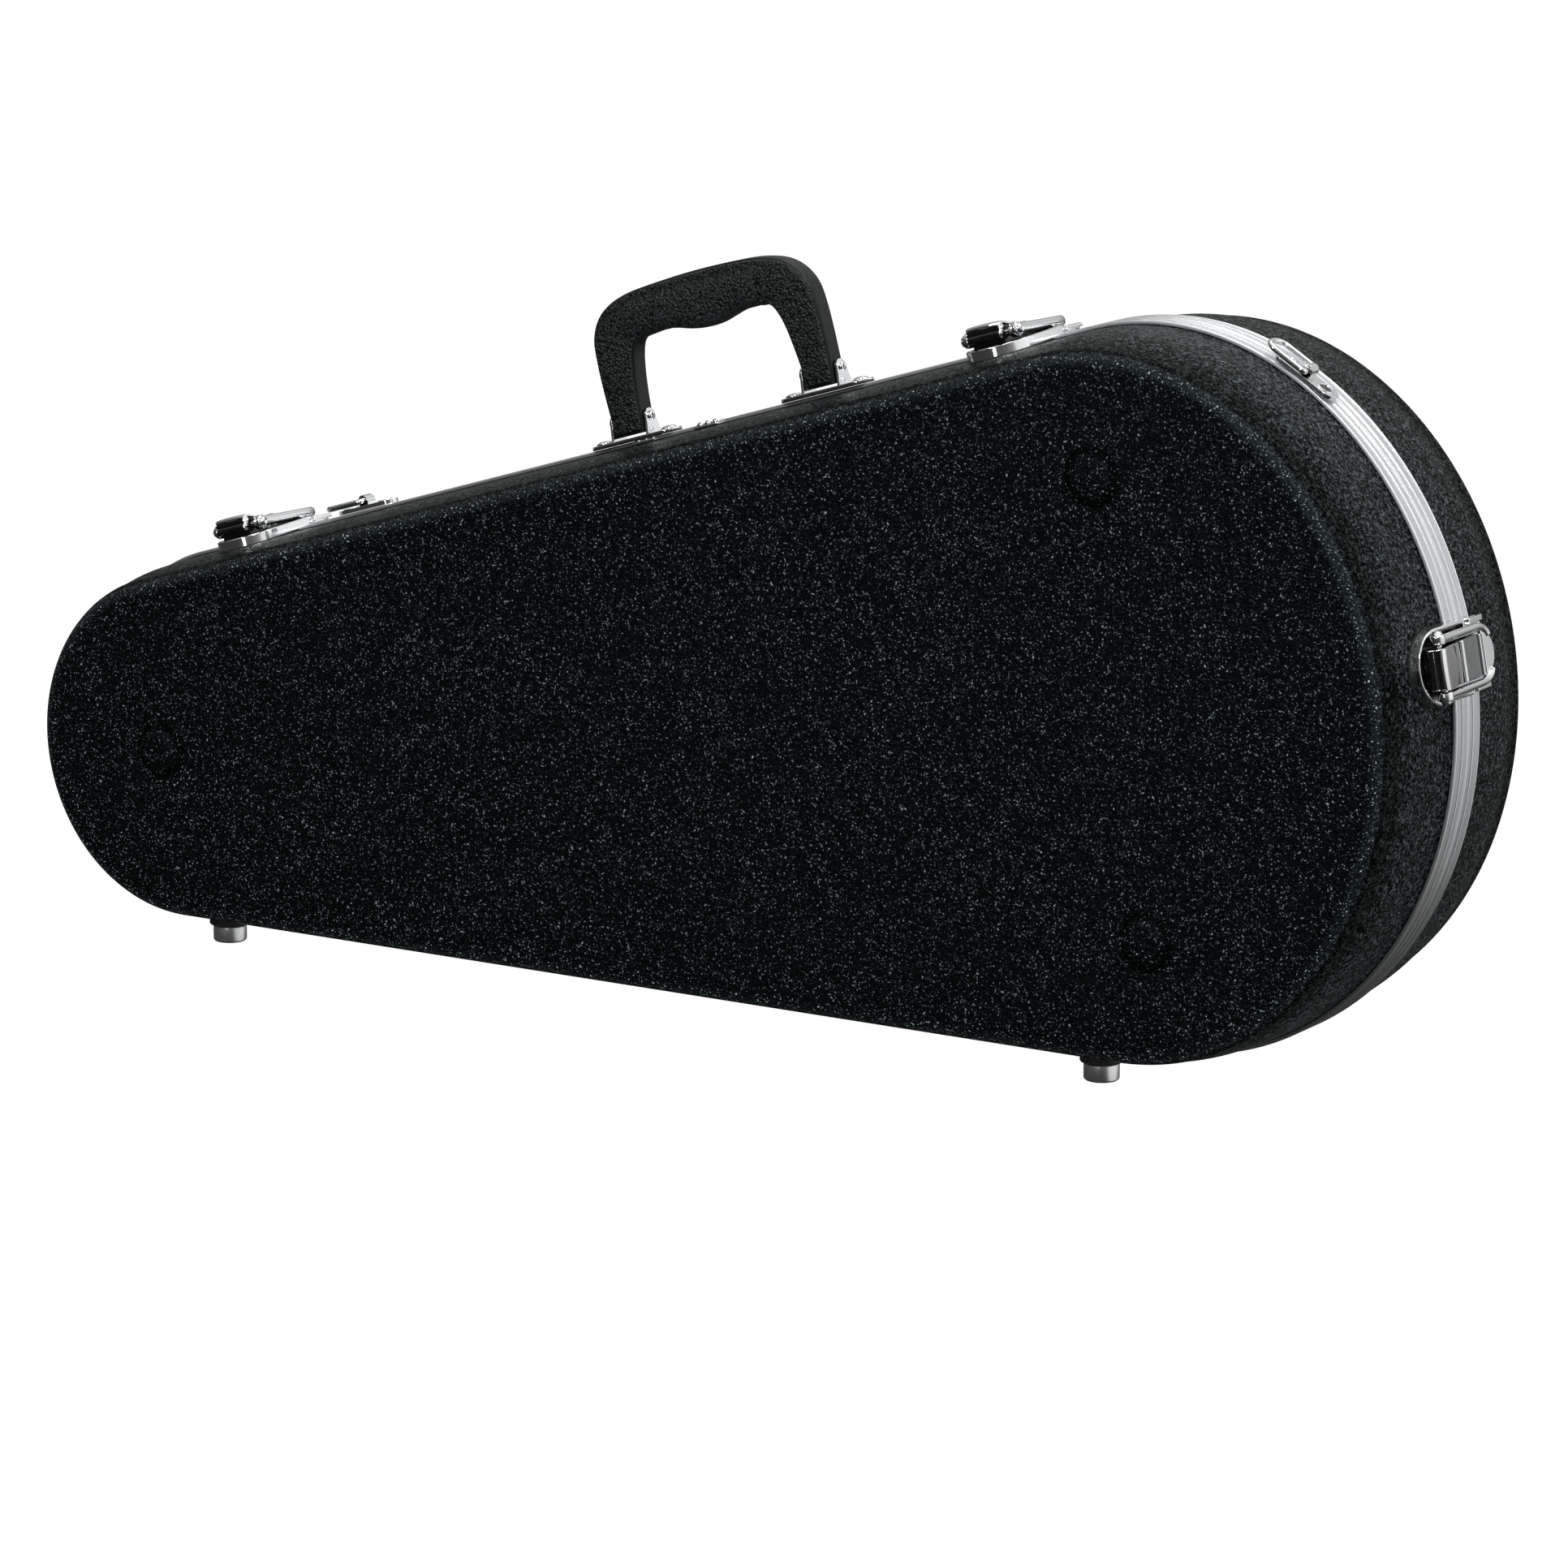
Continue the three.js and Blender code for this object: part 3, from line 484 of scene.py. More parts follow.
def grained(name, dark, light, scale, distance, strength, rough, spec, cellular=False):
    """A dark non-metal with a grain of cells or of plain noise."""
    m, nt, b = new_material(name)
    co = node(nt, "ShaderNodeTexCoord")
    warp, moved = warped(nt, co, scale * 0.6, 0.0012)
    if cellular:
        source = (cells(nt, (moved, 0), scale), "Distance")
    else:
        source = (noise(nt, (moved, 0), scale, 4.0, 0.65), "Fac")
    values = {"Height": source, "Distance": distance, "Strength": strength}
    link(nt, (node(nt, "ShaderNodeBump", values, invert=cellular), 0), b, "Normal")
    link(nt, (ramp(nt, source, [(0.2, light), (0.7, dark)]), 0), b, "Base Color")
    link(nt, (ramp(nt, (warp, "Fac"), [(0.3, rough - 0.07), (0.7, rough + 0.07)]), 0), b, "Roughness")
    b.inputs["Specular IOR Level"].default_value = spec
    return m


def plush():
    """Short wine-red pile, brushed lighter and darker in patches."""
    m, nt, b = new_material("wine_plush")
    co = node(nt, "ShaderNodeTexCoord")
    pile = noise(nt, (co, "Object"), 1500.0, 4.0, 0.7)
    brushed = noise(nt, (co, "Object"), 22.0, 3.0)
    both = calc(nt, "ADD", (pile, "Fac"), (brushed, "Fac"))
    mean = calc(nt, "MULTIPLY", (both, 0), 0.5)
    tone = ramp(nt, (mean, 0), [(0.35, (0.055, 0.004, 0.010)), (0.62, (0.21, 0.018, 0.036))])
    link(nt, (tone, 0), b, "Base Color")
    values = {"Height": (pile, "Fac"), "Distance": 0.0012, "Strength": 0.6}
    link(nt, (node(nt, "ShaderNodeBump", values), 0), b, "Normal")
    b.inputs["Roughness"].default_value = 0.92
    b.inputs["Specular IOR Level"].default_value = 0.12
    b.inputs["Sheen Weight"].default_value = 0.7
    b.inputs["Sheen Roughness"].default_value = 0.45
    b.inputs["Sheen Tint"].default_value = (0.9, 0.35, 0.42, 1)
    return m


PLASTIC = grained_plastic()
CHROME = metal("bright_nickel", (0.86, 0.87, 0.88), 0.09, strength=0.02, vary=0.04)
ALU = metal("anodised_aluminium", (0.74, 0.755, 0.77), 0.42, 700.0, 0.015, streak=(0.06, 1, 0.06), vary=0.015)
BRIGHT = metal("polished_rib", (0.95, 0.96, 0.97), 0.3, 700.0, 0.015, vary=0.02)
CUP = metal("turned_nickel", (0.93, 0.94, 0.95), 0.34, strength=0.12, streak=(1, 1, 0.05))
STEEL = metal("grey_steel", (0.30, 0.31, 0.315), 0.33, 1200.0, 0.1, streak=(1, 0.1, 1))
DARK = metal("dark_steel", (0.10, 0.10, 0.105), 0.3)
GLOSS = grained("black_lacquer", grey(0.002), grey(0.006), 700.0, 0.0001, 0.2, rough=0.12, spec=0.5)
RUBBER = grained("black_rubber", grey(0.006), grey(0.014), 900.0, 0.0004, 0.4, rough=0.62, spec=0.25)
LEATHER = grained(
    "handle_grain", (0.0005, 0.0009, 0.0010), (0.018, 0.0235, 0.0245), 760.0, 0.0014, 0.9,
    rough=0.44, spec=0.36, cellular=True,
)
STRIP = grained(
    "handle_strip", (0.0018, 0.0027, 0.0029), (0.0045, 0.006, 0.0064), 1500.0, 0.0003, 0.35,
    rough=0.36, spec=0.3,
)
THREAD = grained("black_thread", grey(0.004), (0.02, 0.02, 0.021), 2600.0, 0.0003, 0.5, rough=0.7, spec=0.3)
BLACK = grained("satin_black", grey(0.006), grey(0.012), 1200.0, 0.0002, 0.3, rough=0.4, spec=0.4)
PLUSH = plush()
RIBBON = grained(
    "ribbon", (0.03, 0.003, 0.006), (0.09, 0.008, 0.016), 1800.0, 0.0003, 0.5, rough=0.8, spec=0.15
)


def finish_piece(obj, materials, body, replaced=None):
    """Gives a piece its materials and its body, and hides the CAD node that it replaces."""
    for m in materials:
        obj.data.materials.append(m)
    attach(obj, body)
    if replaced:
        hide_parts(replaced)
    return obj


# ---------------- shells and valances
HALVES = {"base": 1, "lid": -1}  # side of the parting plane
ROUND = 9.0  # radius of the bend from wall to face
BEND_DEPTH = FACE_DEPTH - ROUND
BEND_INSET = 6.5  # of the wall where the bend starts
WALL_INSET = 2.1  # of the wall under the valance
WALL = [
    (WALL_INSET, 13.0), (2.3, 20), (2.7, 30), (3.1, 40), (3.6, 46), (4.4, 51),
    (5.4, 55.5), (6.1, 59.5), (BEND_INSET, BEND_DEPTH),
]
INSIDE = [
    (73, 70.5), (30, 70.5), (16, 70.5), (12.5, 69), (10.4, 66),
    (9.3, 60), (7, 50), (6.1, 40), (5.1, 14), (5.1, 2.1),
]
BUMP_RADIUS = 14.5
BUMP_ROWS = 24
VALANCE_SECTION = [
    (1.3, 0.2), (0.6, 0.25), (0.25, 0.4), (0.25, 0.9), (0.5, 1.3), (0.5, 5.0), (0.3, 5.2), (0.3, 5.8),
    (0.5, 6.0), (0.5, 11.1), (0.25, 11.4), (0.25, 12.1), (0.5, 12.4), (1.0, 12.5), (1.7, 12.5),
    (1.7, 1.8), (5.5, 1.8), (5.5, 9), (7, 9), (7, 0.2),
]
RIB_SECTION = [(0.4, -0.4), (0.12, -0.33), (0.0, 0.0), (0.12, 0.33), (0.4, 0.4)]
RIB_DEPTHS = (0.65, 5.5, 11.75)


def shell_outside():
    """Rows of (inset, depth) from the parting plane up the wall, round the bend and in over the face."""
    wall = [tuple(p) for p in smooth_path(WALL, per=4)]
    turn = [math.pi / 2 * k / 10 for k in range(1, 11)]
    bend = [(BEND_INSET + ROUND * (1 - math.cos(t)), BEND_DEPTH + ROUND * math.sin(t)) for t in turn]
    face = [(BEND_INSET + ROUND + d, FACE_DEPTH) for d in (3, 9, 20, 40, 70)]
    return [(WALL_INSET, 2.1), (WALL_INSET, 8)] + wall + bend + face


OUTSIDE = shell_outside()


def rings_of(section, side, depth=0.0):
    """A ring round the case for each (inset, depth) of a section."""
    return [ring(inset, depth + d, side) for inset, d in section]


def add_bump(shell, x, y, side):
    """A low dome with a soft foot and a small crown."""
    profile = []
    for k in range(BUMP_ROWS + 1):
        radius = BUMP_RADIUS * (1 - k / BUMP_ROWS)
        t = clamp01((14.0 - radius) / 7.0)
        rise = 2.6 * t * t * (3 - 2 * t) + 0.6 * math.exp(-((radius / 6.0) ** 2))
        profile.append((radius, side * (FACE_DEPTH - 0.04 + rise)))
    shell.turned(profile, (x, y, 0), "z", 64)


def add_shell(half, side):
    shell = Build(half + "_shell_moulded", DECK)
    for section in (OUTSIDE, INSIDE):
        shell.loft(rings_of(section, side), caps=False)
    # The middle of the face, outside and inside, and the edge at the parting plane.
    for last in rings_of((OUTSIDE[-1], INSIDE[0]), side):
        shell.put(last, [tuple(range(len(last)))])
    shell.loft(rings_of((INSIDE[-1], OUTSIDE[0]), side), caps=False)
    for x, y in BUMPS:
        add_bump(shell, x, y, side)
    finish_piece(shell.object(smooth=50), [PLASTIC], half, half + "_shell")


def add_valance(half, side):
    valance = Build(half + "_valance_ribbed", DECK)
    rows = rings_of(VALANCE_SECTION, side)
    valance.loft(rows + rows[:1], caps=False)
    for depth in RIB_DEPTHS:
        rib = rings_of(RIB_SECTION, side, depth)
        valance.loft(rib + rib[:1], caps=False, slot=1)
    finish_piece(valance.object(smooth=30), [ALU, BRIGHT], half, half + "_valance")


for half, side in HALVES.items():
    add_shell(half, side)
    add_valance(half, side)

# ---------------- feet
FEET = {1: 14.9, 2: 537.1}  # distance along the lower edge
FOOT_DEPTH = 55
FOOT_CUP = [
    (0, -2.4), (8.1, -2.4), (8.6, -2.1), (8.7, -1.5), (8.7, 4.9), (8.45, 5.6),
    (7.9, 6.05), (7.2, 6.2), (4.8, 6.2), (4.4, 6.0), (4.2, 5.2), (0, 5.0),
]
FOOT_SCREW = [(0, 5.9), (2.6, 5.8), (3.2, 5.4), (3.2, 4.9)]
FOOT_PAD = [(0, -7), (10.2, -7), (10.6, -4), (10.6, -3.6), (10.2, -3.0), (9.6, -2.7), (0, -2.7)]


def add_foot(half, side, index, along):
    place = edge_frame(BIG, -EDGE_NORMAL, along)
    z = side * FOOT_DEPTH
    cup = Build(f"foot_{half}_{index}_cup", place)
    cup.turned(FOOT_CUP, (0, 0, z), "y", 56)
    cup.turned(FOOT_SCREW, (0, 0, z), "y", 24, slot=1)
    cup.box(-2.4, 2.4, 5.7, 5.95, z - 0.35, z + 0.35, slot=2)
    finish_piece(cup.object(smooth=40), [CUP, CHROME, DARK], half, f"foot_cup_{half}_{index}")
    pad = Build(f"foot_{half}_{index}_pad", place)
    pad.turned(FOOT_PAD, (0, 0, z), "y", 48)
    finish_piece(pad.object(smooth=40), [RUBBER], half, f"foot_pad_{half}_{index}")


for index, along in FEET.items():
    for half, side in HALVES.items():
        add_foot(half, side, index, along)


# ---------------- turned details
def dome(build, x, z, base, radius, height):
    """A rivet head that stands on height base."""
    profile = [(radius, base), (radius, base + 0.25 * height)]
    for t in (math.pi / 2 * k / 6 for k in range(1, 6)):
        profile.append((radius * math.cos(t), base + height * (0.25 + 0.75 * math.sin(t))))
    profile.append((0, base + height))
    build.turned(profile, (x, 0, z), "y", 28)


def mirrored(profile, side):
    """A profile about X that grows to one side of its centre."""
    return [(radius, side * x) for radius, x in profile]


# ---------------- latches
# In a latch's frame X runs across it, Y out of the rim, and Z from the parting plane toward its round end.
LATCHES = {
    "left": (BIG, EDGE_NORMAL, -508.0),
    "right": (BIG, EDGE_NORMAL, -38.0),
    "end": (BIG, math.radians(2.3), 0.0),
}
PIN_Y, PIN_Z = 7, 36.5  # the lever's axis
PIN_HEAD = [(2.2, 15.4), (2.5, 15.9), (2.3, 16.6), (1.5, 17.1), (0.9, 16.9), (0, 16.9)]
WALL_START = 13  # depth at which the wall leaves the valance
WALL_SLOPE = 0.066
RECESS = 2.3  # the plate's floor lies this far below its rim
STUD = [(2.1, 0), (2.1, 0.8), (1.7, 1.3), (0.9, 1.5), (0, 1.5)]
HOUSING_CREST = [
    (43.9, 11.3), (43.4, 12.2), (41.6, 12.8), (38.5, 12.4), (33, 11.2),
    (27, 10.2), (22.5, 9.5), (20.4, 8.9), (20.0, 8.0),
]
STRIP_HALF = 9.6
STRIP_COLUMNS = 12
HOUSING_LOBES = ((9.7, 42.4, 2.3), (6.6, 43.6, 1.9))  # y, z, radius
LEVER_RAIL = [
    (13.0, PIN_Z - 0.5), (13.0, 30), (13.0, 20), (13.0, 5),
    (12.9, -3), (12.2, -7.6), (10.4, -11.2), (8.0, -13.2),
]
LEVER_EYE = [(0, 10.7), (3.2, 10.9), (3.6, 11.6), (3.6, 14.8), (3.1, 15.5), (0, 15.5)]
TAB_START, TAB_HALF, TAB_REACH = 6.6, 10.6, 11.2
HASP_RIBS = ((16.9, 8.9), (18.8, 9.3), (-2.4, 8.0), (-4.9, 8.2))  # z, y
CATCH_WING = [(1.4, -19), (3.3, -17.6), (3.6, -4), (1.4, -2.4)]


def nose(half_wide, z0, z1, z2, corner=1.2):
    """A plan of (z, x) with a straight front at z0, straight sides to z1 and a half-round end at z2."""
    points = [(z0, -half_wide + corner), (z0 + corner, -half_wide)]
    points += [(z1 + (z2 - z1) * math.sin(t), -half_wide * math.cos(t)) for t in half_turn(28)]
    points += [(z0 + corner, half_wide), (z0, half_wide - corner)]
    return points


def raised(plan, height):
    """A (z, x) plan lifted to height(z)."""
    return [(x, height(z), z) for z, x in plan]


def wall_height(z, above):
    """A height above the wall, which draws in as it leaves the valance."""
    return above - WALL_SLOPE * (z - WALL_START)


def pad_foot(z):
    return -4.9 if z > 20 else -2.4


def plate_foot(z):
    """The plate's edge stands on the valance, and further on reaches down to the wall."""
    return wall_height(z, -1.5) if z > WALL_START else 0.2


def rim_height(z):
    """The plate's rim, lower toward the round end."""
    return 3.6 - 2.4 * clamp01((z - 8) / 38)


def add_latch_backing_and_shadow_line(name, place):
    backing_with_shadow_line = Build(f"latch_{name}_backing", place)
    # The pad stands out a little past the plate's skirt, so that its black edge is a painted contact shadow
    # round the plate's foot. The rubber gasket under the plate is real.
    plan = nose(18.4, 13.2, 29, 48.4)
    backing_with_shadow_line.loft([raised(plan, pad_foot), raised(plan, lambda z: wall_height(z, -0.9))])
    finish_piece(backing_with_shadow_line.object(0.5, smooth=35), [RUBBER], "base", "latch_pad_" + name)


def add_housing(plate):
    """The fixed housing between the lever's arms: a crowned strip over a dark, two-lobed front."""
    strip = []
    for z, y in smooth_path(HOUSING_CREST, 4):
        lean = clamp01((z - 34) / 8)
        inward = 1.0 if z > 40 else 0
        top = []
        for k in range(STRIP_COLUMNS + 1):
            x = -STRIP_HALF + 2 * STRIP_HALF * k / STRIP_COLUMNS
            crown = 1 - (x / STRIP_HALF) ** 2
            top.append((x, y + 0.35 * crown, z + 1.3 * crown * lean))
        strip.append(top + [(x, y_top - 1.1, z_top - inward) for x, y_top, z_top in top[::-1]])
    plate.loft(strip)
    for y, z, radius in HOUSING_LOBES:
        plate.tube([(-9.0, y, z), (9.0, y, z)], radius, 24, slot=1)
        lip = [(radius + 0.05, 0), (radius + 0.15, 0.3), (radius, 0.6), (radius * 0.5, 0.7), (0, 0.7)]
        for s in SIDES:
            plate.turned(mirrored(lip, s), (s * 8.9, y, z), "x", 24)
    plate.box(-9.0, 9.0, 0.6, 10.6, 27, 41, slot=1)
    plate.box(-9.3, 9.3, 7.85, 8.25, 41, 45.0)


def add_latch_plate(name, place):
    """A D-shaped tray with a beaded rim, which carries the housing."""
    plate = Build(f"latch_{name}_base_plate", place)
    outer, inner = nose(17.8, 1, 29, 47.8), nose(16.2, 2.8, 29, 46.1, 0.8)
    skirt = raised(outer, plate_foot)
    tray = raised(inner, lambda z: rim_height(z) - RECESS)
    steps = [skirt, raised(outer, rim_height), raised(inner, rim_height), tray]
    for a, b in zip(steps, steps[1:]):
        plate.loft([a, b], caps=False)
    bead = raised(nose(17.0, 1.9, 29, 46.95, 1.0), lambda z: rim_height(z) - 0.3)
    plate.tube(bead, 0.8, 10, closed=True)
    whole = [tuple(range(len(outer)))]
    plate.put(skirt, whole)
    plate.put(tray, whole, slot=1)
    plate.turned(STUD, (0, rim_height(44) - RECESS, 43.4), "y", 24)
    add_housing(plate)
    finish_piece(plate.object(0.45, 3), [CHROME, GLOSS], "base", "latch_plate_" + name)


def add_latch_pin(name, place):
    pin = Build(f"latch_{name}_barrel_pin", place)
    pin.tube([(-15.6, PIN_Y, PIN_Z), (15.6, PIN_Y, PIN_Z)], 1.5, 20)
    for s in SIDES:
        pin.turned(mirrored(PIN_HEAD, s), (0, PIN_Y, PIN_Z), "x", 24)
    finish_piece(pin.object(smooth=45), [CHROME], "base", "latch_pin_" + name)


def add_lever(name, place):
    """The frame round the hasp: two rounded side rails that meet in the lift tab."""
    lever = Build(f"latch_{name}_lever_arm", place)
    for s in SIDES:
        rail = [(s * x, 7.4 - 0.026 * (PIN_Z - z), z) for x, z in LEVER_RAIL]
        lever.tube(smooth_path(rail, 5), 1.95, 18, flat=1.3)
        lever.turned(mirrored(LEVER_EYE, s), (0, PIN_Y, PIN_Z), "x", 28)
        x0, x1 = sorted((s * 10.2, s * 11.4))
        lever.box(x0, x1, 5.0, 6.2, -9, PIN_Z - 3)
    tab = [(TAB_START, -TAB_HALF), (TAB_START, TAB_HALF)]
    tab += [(TAB_START + TAB_REACH * math.sin(t), TAB_HALF * math.cos(t)) for t in half_turn(28)[1:-1]]
    lever.slab([(-z, x) for z, x in tab], "y", 5.3, 7.1)
    body = "latch_lever_" + name
    finish_piece(lever.object(0.45, 3, smooth=45), [CHROME], body, body)


def add_hasp(name, place):
    hasp = Build(f"latch_{name}_hasp_plate", place)
    hasp.slab([(5.3, -5.0), (7.6, -5.0), (8.8, 18.2), (5.3, 18.2)], "x", -9.6, 9.6)
    for z, y in HASP_RIBS:
        hasp.tube([(-9.7, y, z), (9.7, y, z)], 0.85, 12, slot=1)
    hasp.box(-9.2, 9.2, 4.0, 5.0, -14.8, -5.0)
    body = "latch_hasp_" + name
    finish_piece(hasp.object(0.3), [STEEL, CHROME], body, body)


def add_catch(name, place):
    catch = Build(f"latch_{name}_catch_plate", place)
    plan = nose(17.4, 1.2, 14, 20.5, 3.0)
    catch.slab([(-z, x) for z, x in plan][::-1], "y", 0.3, 1.7)
    catch.slab([(1.4, -13), (3.1, -13), (3.1, -10.6), (1.4, -8.6)], "x", -6, 6)
    for x0, x1 in ((-17.2, -14.4), (14.4, 17.2)):
        catch.slab(CATCH_WING, "x", x0, x1)
    for s in SIDES:
        dome(catch, s * 10.5, -6.5, 1.7, 2.4, 0.9)
    finish_piece(catch.object(0.4, 3), [CHROME], "lid", "latch_catch_" + name)


for name, where in LATCHES.items():
    for add in (add_latch_backing_and_shadow_line, add_latch_plate, add_latch_pin, add_lever, add_hasp, add_catch):
        add(name, edge_frame(*where))

# ---------------- handle
HANDLE = edge_frame(BIG, EDGE_NORMAL, -213.0)
MID = 8.0  # depth of the handle's middle plane
# Outer and inner edge of the core, from the left leg over the top to the right leg.
CORE_EDGES = [
    ((-67.4, 3.4), (-49.6, 3.4)), ((-67.8, 15), (-49.0, 15)), ((-68.0, 30), (-47.4, 29)),
    ((-67.6, 43), (-45.2, 40)), ((-66.2, 54), (-42.4, 47)), ((-61.5, 62.6), (-38.8, 49.4)),
    ((-54.0, 68.2), (-37.0, 49.9)), ((-44.0, 71.6), (-34.5, 50.1)), ((-30.0, 73.3), (-28, 50)),
    ((0, 74.5), (0, 49.8)), ((30, 73.7), (29, 49.6)), ((45, 71.5), (37.0, 49.4)),
    ((55, 67.8), (40.4, 48.6)), ((62, 61.9), (42.9, 46.2)), ((66.4, 54), (45.2, 41.5)),
    ((67.8, 43.5), (47.0, 35)), ((68.0, 30), (48.6, 25)), ((67.6, 15), (49.8, 15)),
    ((67.2, 3.4), (50.4, 3.4)),
]
CORE_HALF = 5.6  # half the core's thickness between its panels
PANEL_INNER, PANEL_OUTER = 4.4, 7.0  # a panel's faces, from the middle plane
CORNER_STEPS = 4
# The grip's top and bottom at each x; it swells under the fingers.
GRIP_START, GRIP_END = -44.6, 37.6
GRIP_LINE = [
    (GRIP_START, 69.6, 49.0), (-41, 70.3, 48.8), (-34, 70.9, 49.4), (-24, 71.3, 50.1), (-16, 71.6, 49.0),
    (-8, 71.9, 46.9), (0, 72, 45.8), (8, 72, 46.1), (15, 71.8, 47.7), (22, 71.6, 49.3), (29, 71.2, 49.9),
    (34, 70.8, 49.5), (GRIP_END, 70.3, 48.9),
]
GRIP_SEGMENTS = 36
GRIP_POWER = 3.2  # 2 is an ellipse, and more is squarer
LEGS = {"left": -58.5, "right": 58.5}
PIVOT_Y = 10.9
EAR_RADIUS = 4.0
EAR_RIVET = [(1.5, 0), (1.4, 0.5), (0.8, 0.9), (0, 1.0)]
RIVET_HEAD = [(2.6, 0), (2.6, 0.5), (2.1, 1.2), (1.3, 1.35), (1.1, 0.8), (0, 0.7)]
RIVET_HOLE = [(1.15, 0.82), (0, 0.84)]


def core_section(outer, inner, z0, z1, corner):
    """A round-cornered rectangle between two plan points and two depths."""
    o, i = np.array(outer, float), np.array(inner, float)
    width = np.linalg.norm(o - i)
    outward = (o - i) / width
    far, near = width - corner, corner
    top, bottom = z1 - corner, z0 + corner
    points = []
    for quarter, (run, z) in enumerate(((far, top), (near, top), (near, bottom), (far, bottom))):
        for step in range(CORNER_STEPS + 1):
            t = math.pi / 2 * (quarter + step / CORNER_STEPS)
            p = i + outward * (run + corner * math.cos(t))
            points.append((p[0], p[1], z + corner * math.sin(t)))
    return points


def add_core():
    """A strip between two leather panels, stitched along their outer edge."""
    outer_line = smooth_path([outer for outer, _ in CORE_EDGES], 6)
    inner_line = smooth_path([inner for _, inner in CORE_EDGES], 6)
    lines = list(zip(outer_line, inner_line))
    core = Build("handle_core_stitched", HANDLE)
    core.loft([core_section(o, i, MID - CORE_HALF, MID + CORE_HALF, 1.6) for o, i in lines], slot=1)
    panel = [(toward(o, i, 1.0), toward(i, o, 0.8)) for o, i in lines[1:-1]]
    for z0, z1 in ((MID + PANEL_INNER, MID + PANEL_OUTER), (MID - PANEL_OUTER, MID - PANEL_INNER)):
        core.loft([core_section(o, i, z0, z1, 1.15) for o, i in panel])
    seam = [toward(o, i, 3.0) for o, i in lines]
    for z in (MID + PANEL_OUTER, MID - PANEL_OUTER):
        for k in range(4, len(seam) - 5, 2):
            a, b = seam[k], seam[k + 1]
            core.tube([(*toward(a, b, 0.2), z), (*(a + (b - a) * 0.75), z)], 0.38, 6, slot=2)
    finish_piece(core.object(smooth=40), [LEATHER, STRIP, THREAD], "handle", "handle_core")


def grip_section(x, top, bottom):
    """A squarish ring, thinner within a short way of the grip's ends."""
    edge = min((x - GRIP_START) / 2.2, (GRIP_END - x) / 2.2, 1.0)
    thick = 8.4 + 1.0 * math.sqrt(max(edge, 0.0))
    mid, tall = (top + bottom) / 2, (top - bottom) / 2
    points = []
    for k in range(GRIP_SEGMENTS):
        t = 2 * math.pi * k / GRIP_SEGMENTS
        c, s = math.cos(t), math.sin(t)
        shrink = (abs(c) ** GRIP_POWER + abs(s) ** GRIP_POWER) ** (-1 / GRIP_POWER)
        points.append((x, mid + tall * s * shrink, MID + thick * c * shrink))
    return points


def add_grip():
    """The leather wrap round the core, with piping at its ends and a stitched seam on each side."""
    grip = Build("handle_grip_wrap", HANDLE)
    rings = [grip_section(x, top, bottom) for x, top, bottom in smooth_path(GRIP_LINE, 5)]
    grip.loft(rings)
    for end_ring in (rings[2], rings[-3]):
        piping = [(x, y * 1.004, MID + (z - MID) * 1.03) for x, y, z in end_ring]
        grip.tube(piping, 0.4, 6, closed=True, slot=1)
    for s in (1, -1):
        seam = [np.array((x, top - 1.9, MID + s * 8.3)) for x, top, _ in smooth_path(GRIP_LINE, 9)]
        for k in range(3, len(seam) - 4, 2):
            grip.tube([seam[k], seam[k] * 0.3 + seam[k + 1] * 0.7], 0.42, 6, slot=1)
    obj = finish_piece(grip.object(smooth=50), [LEATHER, THREAD], "handle", "handle_grip")


def ear_outline():
    """(y, z) of an ear: a wide foot under a round head about the pivot."""
    sweep = [-0.15 + (math.pi + 0.3) * k / 16 for k in range(17)]
    head = [(PIVOT_Y + EAR_RADIUS * math.sin(t), MID + EAR_RADIUS * math.cos(t)) for t in sweep]
    return [(0.8, MID - 6.2), (0.8, MID + 6.2), (4.5, MID + 5.4)] + head + [(4.5, MID - 5.4)]


def add_bracket(name, leg):
    bracket = Build(f"handle_bracket_{name}_plate", HANDLE)
    bracket.slab(swapped(oblong(26.5, 7.4, leg, MID)), "y", 0.2, 1.1, slot=1)
    bracket.slab(swapped(oblong(26.3, 7.2, leg, MID)), "y", 1.1, 2.2)
    for s in SIDES:
        x0, x1 = sorted((leg + s * 9.9, leg + s * 11.5))
        bracket.slab(ear_outline(), "x", x0, x1)
        dome(bracket, leg + s * 19.8, MID, 2.2, 4.2, 1.6)
        bracket.turned(mirrored(EAR_RIVET, s), (leg + s * 11.5, 4.2, MID + 2.4), "x", 16)
    finish_piece(
        bracket.object(0.3, 3, smooth=40), [CHROME, BLACK], "base", "handle_bracket_" + name
    )


def add_handle_pin(name, leg):
    pin = Build(f"handle_pin_{name}_rivet", HANDLE)
    pin.tube([(leg - 12.0, PIVOT_Y, MID), (leg + 12.0, PIVOT_Y, MID)], 1.6, 20)
    for s in SIDES:
        at = (leg + s * 11.6, PIVOT_Y, MID)
        pin.turned(mirrored(RIVET_HEAD, s), at, "x", 24)
        pin.turned(mirrored(RIVET_HOLE, s), at, "x", 24, slot=1)
    finish_piece(pin.object(smooth=40), [CHROME, DARK], "base", "handle_pin_" + name)


add_core()
add_grip()
for name, leg in LEGS.items():
    add_bracket(name, leg)
    add_handle_pin(name, leg)

# ---------------- valance joint clips
CLIPS = {1: -262.5, 2: -224.0}  # distance along the upper edge
CLIP_PIN = [(1.7, 13.5), (1.5, 14.2), (0.9, 14.7), (0, 14.9)]

